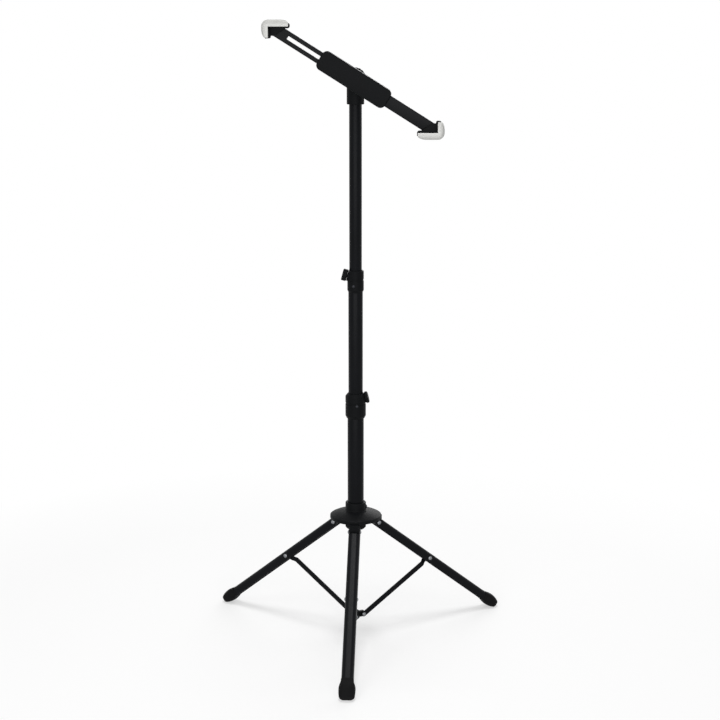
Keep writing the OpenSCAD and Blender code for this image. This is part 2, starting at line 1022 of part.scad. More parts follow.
module claw_screw_places() {
    for (side = [-1, 1])
        translate([corner_at - claw_screw_back, 0, side * claw_screw_side])
            children();
}

module fixed_arm() {
    color(powder_black)
        holder_frame()
            arm(fixed_arm_end);
}

// The sliding arm has a long slot for the clamp screw, which also stops it at both ends
module slide_arm() {
    slot_from = arm_knob_at - arm_out - slot_half;
    slot_to = arm_knob_at + arm_in + slot_half;
    color(powder_black)
        holder_frame()
            rotate([0, 180, 0])
                difference() {
                    arm(slide_arm_end);
                    forward_plate(channel_f, 2 * channel_t)
                        translate([slot_from, -slot_half])
                            square([slot_to - slot_from, 2 * slot_half]);
                }
}

module arm_knob() {
    color(moulded_black)
        holder_frame()
            translate([-arm_knob_at, 0, 0]) {
                forward(screw_radius, holder_back - arm_knob_t / 2, cover_f + cover_t / 2);
                translate([0, slide_gap - holder_back, 0])
                    rotate([-90, 0, 0])
                        fluted_knob(arm_knob_r, arm_knob_t, knob_flutes, flute_radius);
            }
}

// Claws

// A black corner plate with an L-shaped upstand, screwed to the end of an arm
module claw_base(upper) {
    color(moulded_black)
        difference() {
            claw_frame(upper) {
                forward_plate(cover_f, cover_t) {
                    difference() {
                        union() {
                            rounded_bar(base_long, base_bar);
                            mirror([1, -1])
                                rounded_bar(base_short, base_bar);
                        }
                        translate([-base_bar, -base_bar])
                            corner_waste(base_corner);
                    }
                    polygon([[0, 0], [base_long - base_bar, base_bar], [base_bar, base_short - base_bar]]);
                    rotate(diagonal)
                        translate([0, -arm_w / 2])
                            square([base_tongue, arm_w]);
                }
                forward_plate(cover_f, cover_t + grip_depth)
                    rib_outline();
            }
            holder_frame()
                rotate([0, upper ? 180 : 0, 0])
                    claw_screw_places()
                        forward(small_screw + pin_gap, 0, holder_front - cut);
        }
}

// A bar along +X from behind the corner, with a round far end
module rounded_bar(length, half) {
    translate([-half, -half])
        square([length, 2 * half]);
    translate([length - half, 0])
        circle(half);
}

module rib_outline() {
    translate([-rib_t, -rib_t])
        square([base_long + rib_t, rib_t]);
    translate([-rib_t, -rib_t])
        square([rib_t, base_short + rib_t]);
}

module claw_screws(upper) {
    color(bright_steel)
        holder_frame()
            rotate([0, upper ? 180 : 0, 0])
                claw_screw_places()
                    small_screw(channel_f + flat_gap, arm_t + cover_t / 2);
}

// A soft L-shaped pad over the upstand, with tapering ends and a lip in front of the gripped edge
module claw_pad(upper) {
    color(pad_grey)
        claw_frame(upper)
            difference() {
                forward_plate(holder_front, grip_depth + lip_t)
                    pad_outline();
                forward_plate(holder_front - cut, grip_depth + cut)
                    square(pad_long + pad_short);
                forward_plate(holder_front - cut, grip_depth + cut)
                    rib_outline();
            }
}

module pad_outline() {
    difference() {
        union() {
            translate([-pad_wall, -pad_wall])
                square([pad_long, pad_wall + pad_lip]);
            translate([-pad_wall, -pad_wall])
                square([pad_wall + pad_lip, pad_short]);
        }
        translate([-pad_wall, -pad_wall])
            corner_waste(pad_corner);
        translate([pad_long - pad_wall, -pad_wall])
            mirror([1, 0])
                corner_waste(pad_end);
        translate([-pad_wall, pad_short - pad_wall])
            mirror([0, 1])
                corner_waste(pad_end);
        translate([pad_long - pad_wall, pad_lip])
            rotate(180)
                corner_waste(lip_end);
        translate([pad_lip, pad_short - pad_wall])
            rotate(180)
                corner_waste(lip_end);
    }
}

tripod_hub();
hub_screw();
leg_rivets();
lower_tube();
lower_collar();
lower_collar_rivet();
lower_knob();
leg(FRONT);  // leg_front
leg(RIGHT);  // leg_right
leg(LEFT);  // leg_left
foot(FRONT);  // foot_front
foot(RIGHT);  // foot_right
foot(LEFT);  // foot_left
strut_pin(FRONT);  // strut_pin_front
strut_pin(RIGHT);  // strut_pin_right
strut_pin(LEFT);  // strut_pin_left
strut(FRONT);  // strut_front
strut(RIGHT);  // strut_right
strut(LEFT);  // strut_left
strut_end(FRONT);  // strut_end_front
strut_end(RIGHT);  // strut_end_right
strut_end(LEFT);  // strut_end_left
spreader();
spreader_rivets();
middle_tube();
middle_bush();
middle_collar();
middle_collar_rivet();
middle_knob();
upper_tube();
upper_bush();
mast_head();
head_knob();
lock_ring();
ball_stud();
swivel_plate();
swivel_screws();
holder_body();
holder_cover();
holder_screws();
fixed_arm();
slide_arm();
arm_knob();
claw_base(true);  // claw_base_upper
claw_base(false);  // claw_base_lower
claw_screws(true);  // claw_screws_upper
claw_screws(false);  // claw_screws_lower
claw_pad(true);  // claw_pad_upper
claw_pad(false);  // claw_pad_lower
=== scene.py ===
# Folding floor stand with a telescopic mast and a two-claw holder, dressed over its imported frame
import json
import math

import bmesh
import bpy
import numpy as np
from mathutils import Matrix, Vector


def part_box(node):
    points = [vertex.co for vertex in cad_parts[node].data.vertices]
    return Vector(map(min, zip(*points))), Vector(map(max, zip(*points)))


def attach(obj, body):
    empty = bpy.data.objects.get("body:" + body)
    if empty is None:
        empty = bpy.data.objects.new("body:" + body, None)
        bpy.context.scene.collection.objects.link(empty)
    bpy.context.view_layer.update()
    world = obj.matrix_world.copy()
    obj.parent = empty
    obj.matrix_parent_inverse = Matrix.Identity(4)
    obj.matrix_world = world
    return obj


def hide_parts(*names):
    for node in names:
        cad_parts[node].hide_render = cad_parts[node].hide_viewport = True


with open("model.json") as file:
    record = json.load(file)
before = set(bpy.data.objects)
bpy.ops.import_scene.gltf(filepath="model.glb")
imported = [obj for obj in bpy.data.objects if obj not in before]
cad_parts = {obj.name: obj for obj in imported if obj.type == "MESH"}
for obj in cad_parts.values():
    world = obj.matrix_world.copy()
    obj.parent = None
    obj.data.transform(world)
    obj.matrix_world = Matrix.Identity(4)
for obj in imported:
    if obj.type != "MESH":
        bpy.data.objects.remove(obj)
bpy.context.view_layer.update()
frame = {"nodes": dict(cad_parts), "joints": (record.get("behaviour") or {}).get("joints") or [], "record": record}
mm = 0.001
joints = {j["name"]: j for j in frame["joints"]}
mounts = {m["name"]: m for m in frame["record"]["mounts"]}
legNames = ("front", "right", "left")
scene = bpy.context.scene

# the mast stands on the pan joint's axis, and the holder looks along -Y
mastX, mastY = joints["head_pan"]["pos_m"][:2]
upWay = np.array([0.0, 0.0, 1.0])
frontWay = np.array([0.0, -1.0, 0.0])

shot = {"lens": 79.29, "azimuth": 2.8, "distance": 2.3717, "height": 0.974, "pitch": -12.588, "aside": 0.0067}


def aimCamera():
    turn, pitch = math.radians(shot["azimuth"]), math.radians(shot["pitch"])
    rightWay = Vector((math.cos(turn), math.sin(turn), 0))
    backWay = Vector((math.sin(turn), -math.cos(turn), 0))
    lens = bpy.data.cameras.new("shotCamera")
    lens.lens, lens.sensor_width = shot["lens"], 36
    cam = bpy.data.objects.new("shotCamera", lens)
    cam.location = Vector((mastX, mastY, shot["height"])) + backWay * shot["distance"] + rightWay * shot["aside"]
    look = -backWay * math.cos(pitch) + Vector((0, 0, math.sin(pitch)))
    cam.rotation_euler = look.to_track_quat("-Z", "Y").to_euler()
    scene.collection.objects.link(cam)
    scene.camera = cam


aimCamera()
print("camera set")


# shader sockets that take Python's operators
class Sock:
    def __init__(self, tree, out):
        self.tree, self.out = tree, out

    def calc(self, kind, first, second=None):
        made = self.tree.nodes.new("ShaderNodeMath")
        made.operation = kind
        for place, value in zip(made.inputs, (first, second)):
            if isinstance(value, Sock):
                self.tree.links.new(value.out, place)
            elif value is not None:
                place.default_value = value
        return Sock(self.tree, made.outputs[0])

    def __add__(self, other):
        return self.calc("ADD", self, other)

    def __radd__(self, other):
        return self.calc("ADD", other, self)

    def __sub__(self, other):
        return self.calc("SUBTRACT", self, other)

    def __rsub__(self, other):
        return self.calc("SUBTRACT", other, self)

    def __mul__(self, other):
        return self.calc("MULTIPLY", self, other)

    def __rmul__(self, other):
        return self.calc("MULTIPLY", other, self)

    def __truediv__(self, other):
        return self.calc("DIVIDE", self, other)

    def __pow__(self, other):
        return self.calc("POWER", self, other)

    def least(self, other):
        return self.calc("MINIMUM", self, other)

    def most(self, other):
        return self.calc("MAXIMUM", self, other)


class Finish:
    # a material with one Principled shader, or none where the surface is built from other shaders
    def __init__(self, name):
        self.mat = bpy.data.materials.new(name)
        self.mat.use_nodes = True
        self.tree = self.mat.node_tree
        self.tree.nodes.clear()
        self.end = self.tree.nodes.new("ShaderNodeOutputMaterial")

    # any node: its type, its settings, the values or links of its sockets, and which output to hand back
    def node(self, kind, settings=None, out=0, **sockets):
        made = self.tree.nodes.new("ShaderNode" + kind)
        for key, value in (settings or {}).items():
            if key == "stops":
                ramp = made.color_ramp.elements
                while len(ramp) < len(value):
                    ramp.new(1)
                for stop, (at, tint) in zip(ramp, value):
                    stop.position, stop.color = at, (*tint, 1)
            else:
                setattr(made, key, value)
        for key, value in sockets.items():
            place = made.inputs[int(key[1:])] if key[1:].isdigit() else made.inputs[key.replace("_", " ")]
            if isinstance(value, Sock):
                self.tree.links.new(value.out, place)
            elif hasattr(place.default_value, "__len__") and len(value) == 3 and len(place.default_value) == 4:
                place.default_value = (*value, 1)
            else:
                place.default_value = value
        return Sock(self.tree, made.outputs[out])

    def coords(self, stretch=(1, 1, 1)):
        place = self.node("TexCoord", out="Object")
        return self.node("Mapping", i0=place, Scale=stretch)

    # soft noise from 0 to 1 with grains of the given size in metres
    def grain(self, size, detail=2, stretch=(1, 1, 1)):
        return self.node("TexNoise", i0=self.coords(stretch), Scale=1 / size, Detail=detail, Roughness=0.6)

    def tone(self, mask, low, high):
        return self.node("Mix", {"data_type": "RGBA"}, out=2, i0=mask, i6=(*low, 1), i7=(*high, 1))

    def bumped(self, height, depth, strength=1.0):
        return self.node("Bump", Height=height, Distance=depth, Strength=strength)

    def principled(self, **sockets):
        shader = self.node("BsdfPrincipled", **sockets)
        self.tree.links.new(shader.out, self.end.inputs[0])
        return self.mat


def srgb(code):
    channel = np.array([int(code[i:i + 2], 16) for i in (1, 3, 5)]) / 255
    return tuple(np.where(channel <= 0.04045, channel / 12.92, ((channel + 0.055) / 1.055) ** 2.4))


powder = {"dark": "#0a0b0d", "light": "#111215", "peel": 0.9 * mm, "rough": 0.26}


def powderCoat():
    f = Finish("powderCoat")
    peel, cloud = f.grain(powder["peel"], 3), f.grain(38 * mm)
    return f.principled(
        Base_Color=f.tone(cloud, srgb(powder["dark"]), srgb(powder["light"])),
        Roughness=powder["rough"] + 0.10 * cloud + 0.08 * peel,
        Normal=f.bumped(peel, 0.03 * mm, 0.4), Specular_IOR_Level=0.06)


moulded = {"dark": "#0a0b0c", "light": "#101113", "spark": 0.35 * mm, "rough": 0.38}


def mouldedPlastic():
    f = Finish("mouldedPlastic")
    spark, cloud = f.grain(moulded["spark"], 4), f.grain(16 * mm)
    return f.principled(
        Base_Color=f.tone(cloud, srgb(moulded["dark"]), srgb(moulded["light"])),
        Roughness=moulded["rough"] + 0.12 * spark + 0.06 * cloud,
        Normal=f.bumped(spark, 0.03 * mm, 0.5), Specular_IOR_Level=0.05)


rubber = {"dark": "#0a0a0b", "light": "#131314", "rough": 0.55}


def footRubber():
    f = Finish("footRubber")
    skin, cloud = f.grain(0.6 * mm, 4), f.grain(9 * mm, 3)
    return f.principled(
        Base_Color=f.tone(cloud, srgb(rubber["dark"]), srgb(rubber["light"])),
        Roughness=rubber["rough"] + 0.16 * cloud + 0.05 * skin,
        Normal=f.bumped(skin, 0.05 * mm, 0.6), Specular_IOR_Level=0.06)


# bare steel for screws and the stud, dull zinc for the leg and strut rivets, blackened steel
# for the collar rivets and the hub screw
steels = {"brightSteel": {"dark": "#a2a4a7", "light": "#d2d3d5", "rough": 0.2},
          "zincRivet": {"dark": "#6c6e71", "light": "#929497", "rough": 0.32},
          "blackRivet": {"dark": "#27282b", "light": "#3b3c40", "rough": 0.36}}


def metal(name):
    f, steel = Finish(name), steels[name]
    scuff, cloud = f.grain(0.25 * mm, 3, (1, 1, 0.2)), f.grain(2.5 * mm, 3)
    return f.principled(
        Base_Color=f.tone(cloud, srgb(steel["dark"]), srgb(steel["light"])), Metallic=1.0,
        Roughness=steel["rough"] + 0.12 * scuff + 0.08 * cloud, Normal=f.bumped(scuff, 0.01 * mm, 0.4))


# pad silicone: the outer colour is painted shade, laid toward the pad's rounded outer rim by a mask and mixed with a
# random cloud of tone
silicone = {"inner": "#d2d2cf", "outer": "#a6a6a3", "rimShare": 0.85, "cloudShare": 0.25, "rough": 0.45}


def padSilicone():
    f = Finish("padSilicone")
    # this attribute carries the painted shade: 0 at the pad's inner face, 1 at its rounded outer wall
    rimward = f.node("Attribute", {"attribute_name": "rimward"}, out="Fac")
    skin, cloud = f.grain(1.5 * mm, 2), f.grain(6 * mm, 2)
    padShadeAndCloud = (silicone["rimShare"] * rimward + silicone["cloudShare"] * cloud).least(1.0)
    return f.principled(
        Base_Color=f.tone(padShadeAndCloud, srgb(silicone["inner"]), srgb(silicone["outer"])),
        Roughness=silicone["rough"] + 0.10 * cloud + 0.05 * skin,
        Normal=f.bumped(skin, 0.01 * mm, 0.2), Specular_IOR_Level=0.25)


finishes = {"powder_black": powderCoat(), "moulded_black": mouldedPlastic(), "rubber_black": footRubber(),
            "bright_steel": metal("brightSteel"), "pad_grey": padSilicone()}
zincRivet, blackRivet = metal("zincRivet"), metal("blackRivet")
for part in frame["record"]["subparts"]:
    mesh = frame["nodes"][part["node"]].data
    mesh.materials.clear()
    mesh.materials.append(finishes[part["material_slot"]])
print("finishes:", ", ".join(finishes))


# places: an origin and three axes as rows
def unit(v):
    v = np.asarray(v, float)
    return v / np.linalg.norm(v)


def placeAlong(origin, axis, across=None):
    z = unit(axis)
    if across is None:
        across = upWay if abs(z[2]) < 0.9 else np.array([1.0, 0, 0])
    x = unit(np.asarray(across, float) - np.dot(across, z) * z)
    return np.array(origin, float), np.array([x, np.cross(z, x), z])


def placed(points, place):
    return place[0] + points @ place[1]


def mastPlace(z=0.0):
    return placeAlong((mastX, mastY, z), upWay)


# a surface from a grid of points, closed round its columns and, if asked, round its rows or by caps
def surface(grid, wrapRows=False, caps=False):
    rows, cols = grid.shape[:2]
    i = np.arange(rows if wrapRows else rows - 1)[:, None]
    j = np.arange(cols)[None, :]
    nextRow, nextCol = (i + 1) % rows, (j + 1) % cols
    quads = np.stack([i * cols + j, i * cols + nextCol, nextRow * cols + nextCol, nextRow * cols + j], -1)
    ends = [list(range(cols)), list(range((rows - 1) * cols, rows * cols))] if caps else []
    return grid.reshape(-1, 3), quads.reshape(-1, 4), ends


# corners (x, y, radius) joined by straight runs, each corner an arc of its radius
def filleted(corners, closed=False, steps=6):
    run = []
    for k, (x, y, radius) in enumerate(corners):
        p = np.array([x, y])
        if radius == 0 or (not closed and k in (0, len(corners) - 1)):
            run.append(p[None])
            continue
        before = np.array(corners[k - 1][:2]) - p
        after = np.array(corners[(k + 1) % len(corners)][:2]) - p
        a, b = unit(before), unit(after)
        half = math.acos(np.clip(a @ b, -1, 1)) / 2
        reach = min(radius / math.tan(half), 0.49 * np.linalg.norm(before), 0.49 * np.linalg.norm(after))
        middle = p + unit(a + b) * reach / math.cos(half)
        start, end = unit(p + a * reach - middle), unit(p + b * reach - middle)
        sweep = math.acos(np.clip(start @ end, -1, 1))
        t = np.linspace(0, 1, steps)[:, None]
        run.append(middle + reach * math.tan(half) * (np.sin((1 - t) * sweep) * start + np.sin(t * sweep) * end)
                   / math.sin(sweep))
    return np.concatenate(run)


# the same run with extra points, so that none is further from the next than the given step
def refined(run, step, closed=False):
    nextPoint = np.roll(run, -1, 0) if closed else run[1:]
    base = run if closed else run[:-1]
    counts = np.maximum(1, np.ceil(np.linalg.norm(nextPoint - base, axis=1) / step).astype(int))
    share = np.concatenate([np.arange(c) / c for c in counts])[:, None]
    made = np.repeat(base, counts, 0) * (1 - share) + np.repeat(nextPoint, counts, 0) * share
    return made if closed else np.concatenate([made, run[-1:]])


# points spaced evenly along a closed outline
def spaced(outline, count):
    loop = np.concatenate([outline, outline[:1]])
    length = np.concatenate([[0], np.cumsum(np.linalg.norm(np.diff(loop, axis=0), axis=1))])
    at = np.linspace(0, length[-1], count, endpoint=False)
    return np.stack([np.interp(at, length, loop[:, k]) for k in (0, 1)], -1)


# an arc of radius r about (0, middle), from one polar angle to another, as (radius, height)
def arc(r, middle, start, end, steps=14):
    t = np.radians(np.linspace(start, end, steps))
    return np.stack([r * np.cos(t), middle + r * np.sin(t)], -1)


# a run of (radius, height) turned about the place's third axis; ripple(radius, height, turn) scales the radius
def lathe(run, place, closed=False, count=96, ripple=None):
    turn = np.arange(count)[None, :] * 2 * math.pi / count
    r, h = run[:, :1], run[:, 1:2] + 0 * turn
    if ripple:
        r = r * ripple(r, run[:, 1:2], turn)
    grid = np.stack([r * np.cos(turn), r * np.sin(turn), h], -1)
    return surface(placed(grid, place), wrapRows=closed)


def outlineNormals(outline):
    along = np.roll(outline, -1, 0) - np.roll(outline, 1, 0)
    along /= np.maximum(np.linalg.norm(along, axis=1, keepdims=True), 1e-12)
    return np.stack([along[:, 1], -along[:, 0]], -1)


# rounded rim of a plate: how far the outline draws in and at what height, up one rim and down the other
def rimRows(low, high, edgeLow, edgeHigh, steps=5):
    t = np.linspace(0, math.pi / 2, steps)
    inset = np.concatenate([edgeLow * (1 - np.sin(t)), edgeHigh * (1 - np.sin(t[::-1]))])
    height = np.concatenate([low + edgeLow * (1 - np.cos(t)), high - edgeHigh * (1 - np.cos(t[::-1]))])
    return inset[:, None, None], height


# an outline raised from low to high, with rounded rims
def plate(outline, low, high, edgeLow, edgeHigh, place):
    inset, height = rimRows(low, high, edgeLow, edgeHigh)
    flat = outline[None] - outlineNormals(outline)[None] * inset
    grid = np.concatenate([flat, np.broadcast_to(height[:, None, None], flat.shape[:2] + (1,))], -1)
    return surface(placed(grid, place), caps=True)


# a plate with a hole: the outer wall up, the top, the hole's wall down and the underside
def slottedPlate(outer, hole, low, high, edge, place, count=160):
    inset, height = rimRows(low, high, edge, edge)
    walls = []
    for outline, way in ((spaced(outer, count), 1), (spaced(hole, count), -1)):
        flat = outline[None] - way * outlineNormals(outline)[None] * inset
        rise = np.broadcast_to(height[:, None, None], flat.shape[:2] + (1,))
        walls.append(np.concatenate([flat, rise], -1)[::way])
    return surface(placed(np.concatenate(walls), place), wrapRows=True)


# a domed head on the place's plane, with a shank below it
def domedHead(r, rise, shank, depth, place, count=40):
    ball = (r * r + rise * rise) / (2 * rise)
    x = np.linspace(0, 0.97 * r, 10)
    crown = np.stack([x, np.sqrt(ball ** 2 - x ** 2) - ball + rise], -1)
    rim = np.array([[r, 0.12 * rise], [r, 0], [shank, 0], [shank, -depth], [0, -depth]])
    return lathe(np.concatenate([crown, rim]), place, count=count)


# a domed screw head with a cross recess: the crown sinks where the point lies in either bar of the cross
def crossHead(r, rise, place, count=64):
    ball = (r * r + rise * rise) / (2 * rise)
    x = np.concatenate([np.linspace(0, 0.66 * r, 14), np.linspace(0.7 * r, 0.98 * r, 6)])[:, None]
    turn = np.arange(count)[None, :] * 2 * math.pi / count
    px, py = x * np.cos(turn), x * np.sin(turn)
    bar = np.clip((0.17 * r - np.minimum(abs(px), abs(py))) / (0.06 * r), 0, 1)
    reach = np.clip((0.62 * r - x) / (0.08 * r), 0, 1)
    h = np.sqrt(ball ** 2 - x ** 2) - ball + rise - 0.55 * rise * bar * reach
    crown = np.stack([px, py, h], -1)
    low = np.stack([r * np.cos(turn), r * np.sin(turn), 0 * turn], -1)
    floor = np.stack([0 * turn, 0 * turn, 0 * turn], -1)
    return surface(placed(np.concatenate([crown, low, floor]), place))


# one object from several surfaces, riding on its body in place of its nodes
def piece(name, shells, body, nodes, slot, attribute=None, finish=None):
    starts = np.cumsum([0] + [len(points) for points, quads, ends in shells])
    points = np.concatenate([points for points, quads, ends in shells])
    faces = [list(face) for (p, quads, ends), start in zip(shells, starts) for face in (quads + start).tolist()]
    faces += [[int(i + start) for i in end] for (p, quads, ends), start in zip(shells, starts) for end in ends]
    mesh = bpy.data.meshes.new(name)
    mesh.from_pydata(points.tolist(), [], faces)
    if attribute:
        layer = mesh.attributes.new(attribute[0], "FLOAT", "POINT")
        layer.data.foreach_set("value", np.asarray(attribute[1], np.float32).ravel())
    made = bmesh.new()
    made.from_mesh(mesh)
    bmesh.ops.remove_doubles(made, verts=made.verts, dist=1e-7)
    bmesh.ops.dissolve_degenerate(made, edges=made.edges, dist=1e-8)
    bmesh.ops.recalc_face_normals(made, faces=made.faces)
    made.to_mesh(mesh)
    made.free()
    mesh.shade_smooth()
    mesh.set_sharp_from_angle(angle=math.radians(36))
    mesh.materials.append(finish or finishes[slot])
    obj = bpy.data.objects.new(name, mesh)
    scene.collection.objects.link(obj)
    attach(obj, body)
    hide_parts(*nodes)
    return obj


def boxOf(node):
    low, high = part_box(node)
    return np.array(low), np.array(high)


def tubeRadius(name):
    low, high = boxOf(name + "_tube")
    return (high[1] - low[1]) / 2


# mast tubes: a ring section turned about the mast
tubeLook = {"wall": 1.2 * mm, "lip": 0.35 * mm, "bodies": {"lower": "stand", "middle": "middle", "upper": "upper"}}


def mastTube(name):
    low, high = boxOf(name + "_tube")
    r, wall, lip = tubeRadius(name), tubeLook["wall"], tubeLook["lip"]
    ring = filleted([(r, low[2], lip), (r, high[2], lip), (r - wall, high[2], lip), (r - wall, low[2], lip)],
                    True, 4)
    piece(name + "TubeSkin", [lathe(ring, mastPlace(), True)], tubeLook["bodies"][name], [name + "_tube"],
          "powder_black")


for name in tubeLook["bodies"]:
    mastTube(name)
print("mast tubes made")


# clamp knobs: a bevelled disc whose rim dips in at each flute, on a plain screw
knobLook = {"radius": 9 * mm, "flutes": 10, "dip": 0.75 * mm, "screw": 2.4 * mm, "gap": 0.3 * mm,
            "boss": 7.6 * mm, "bossFoot": 8.4 * mm}


def fluted(radius, flutes, dip):
    def ripple(r, h, turn):
        rim = np.clip((r / radius - 0.72) / 0.2, 0, 1)
        return 1 - dip / radius * rim * (0.5 + 0.5 * np.cos(flutes * turn)) ** 3
    return ripple


def knobShell(radius, thick, flutes, dip, seat, place):
    dish = 0.25 * mm
    run = filleted([(0, seat, 0), (radius - 0.6 * mm, seat, 0.5 * mm), (radius, seat + 0.8 * mm, 0.6 * mm),
                    (radius, seat + thick - 0.9 * mm, 0.9 * mm), (radius - 1.1 * mm, seat + thick, 0.8 * mm),
                    (0.62 * radius, seat + thick, 0.4 * mm), (0.55 * radius, seat + thick - dish, 0.4 * mm),
                    (0, seat + thick - dish, 0)])
    return lathe(refined(run, 0.5 * mm), place, count=180, ripple=fluted(radius, flutes, dip))


def screwShell(r, start, end, place):
    run = filleted([(0, start, 0), (r, start, 0.4 * mm), (r, end, 0), (0, end, 0)])
    return lathe(run, place, count=40)


def clampKnob(name, joint, tubeR, seat, thick):
    spec = joints[joint]
    place = placeAlong(spec["pos_m"], spec["axis"])
    rise = spec["axis"][2]
    tip = (tubeR + knobLook["gap"] + knobLook["screw"] * rise) / math.sqrt(1 - rise * rise)
    piece(name + "Grip", [knobShell(knobLook["radius"], thick, knobLook["flutes"], knobLook["dip"], seat, place),
                          screwShell(knobLook["screw"], tip, seat + thick / 2, place)],
          spec["child"], [spec["child"]], "moulded_black")


# collars: a stepped sleeve with a waist and a conical top, flattened at the knob's seat, and the seat's cone
collarLook = {"bevel": 2 * mm, "waist": 0.5 * mm, "waistTall": 3 * mm, "bore": 0.05 * mm, "gap": 0.3 * mm,
              "rivet": 2.3 * mm, "rivetRise": 1.1 * mm, "shoulderRise": 1.3,
              "lower": {"next": "middle", "body": "stand", "seatOut": -0.4 * mm, "shoulder": 3.4 * mm,
                        "knobThick": 4.8 * mm},
              "middle": {"next": "upper", "body": "middle", "seatOut": 0.8 * mm, "shoulder": 1 * mm,
                         "knobThick": 7.6 * mm}}


def collar(name):
    look, own = collarLook, collarLook[name]
    low, high = boxOf(name + "_collar")
    r = (high[1] - low[1]) / 2
    z0, z1 = low[2], high[2]
    step = boxOf(name + "_tube")[1][2]
    bore, nextBore = tubeRadius(name) + look["bore"], tubeRadius(own["next"]) + look["gap"]
    seat, shoulder = r + own["seatOut"], own["shoulder"]
    waistR, fine = r - look["waist"], 0.2 * mm
    sleeve = filleted([(bore, z0, fine), (r - look["bevel"], z0, 0.7 * mm), (r, z0 + 2 * look["bevel"], 1.5 * mm),
                       (r, step - look["waistTall"], fine), (waistR, step - look["waistTall"] + fine, fine),
                       (waistR, step - fine, fine), (r, step, fine),
                       (r, z1 - look["shoulderRise"] * shoulder, 1.2 * mm),
                       (r - shoulder, z1, 0.5 * mm), (nextBore, z1, 0.3 * mm),
                       (nextBore, step, fine), (bore, step, fine)], True)
    points, quads, ends = lathe(refined(sleeve, 0.6 * mm, True), mastPlace(), True, 180)
    spec = joints[name + "_knob_turn"]
    origin, axis = np.array(spec["pos_m"]), unit(spec["axis"])
    face = seat - look["gap"]
    along = (points - origin) @ axis
    away = np.linalg.norm(points - origin - along[:, None] * axis, axis=1)
    inPocket = (away < knobLook["radius"] + look["gap"]) & (along > face)
    points = points - np.where(inPocket, along - face, 0)[:, None] * axis
    cone = filleted([(0, nextBore, 0), (knobLook["bossFoot"], nextBore, 0), (knobLook["boss"], face, 0.5 * mm),
                     (0, face, 0)])
    bossPoints, bossQuads, bossEnds = lathe(refined(cone, 0.6 * mm), placeAlong(origin, axis), count=96)
    fromMast = np.linalg.norm(bossPoints[:, :2] - (mastX, mastY), axis=1)
    push = np.maximum(1, nextBore / np.maximum(fromMast, 1e-6))[:, None]
    bossPoints[:, :2] = (mastX, mastY) + (bossPoints[:, :2] - (mastX, mastY)) * push
    bossPoints[:, 2] = np.minimum(bossPoints[:, 2], z1 - 0.1 * mm)
    piece(name + "CollarShell", [(points, quads, ends), (bossPoints, bossQuads, bossEnds)], own["body"],
          [name + "_collar"], "moulded_black")
    clampKnob(name + "Knob", name + "_knob_turn", tubeRadius(own["next"]), seat, own["knobThick"])
    pinLow, pinHigh = boxOf(name + "_collar_rivet")
    pinWay = (pinLow + pinHigh) / 2 - (mastX, mastY, 0)
    pinPlace = placeAlong((mastX, mastY, pinWay[2]), pinWay * (1, 1, 0))
    pinPlace = (pinPlace[0] + r * pinPlace[1][2], pinPlace[1])
    head = domedHead(look["rivet"], look["rivetRise"], look["rivet"] / 2, 2 * mm, pinPlace)
    piece(name + "CollarRivetHead", [head], own["body"], [name + "_collar_rivet"], "bright_steel", finish=blackRivet)


for name in ("lower", "middle"):
    collar(name)
print("collars and their knobs made")


# hub: a domed flange with a neck and a sleeve, turned about the mast, and a tongue and web for each leg
hubLook = {"flange": 40 * mm, "under": 12 * mm, "rim": 5 * mm, "dome": 10 * mm, "neck": 16 * mm,
           "neckRound": 4 * mm, "floor": 3 * mm, "bevel": 3 * mm, "tongueR": 5.5 * mm, "tongueW": 15 * mm,
           "webW": 8 * mm, "screw": 3.4 * mm, "screwRise": 2 * mm, "screwDown": 8 * mm, "rivet": 3.2 * mm,
           "rivetRise": 1.6 * mm, "pin": 2.2 * mm}


def legWays(name):
    spec = joints[f"leg_{name}_fold"]
    tangent = unit(spec["axis"])
    return np.array(spec["pos_m"]), np.cross(tangent, upWay), tangent


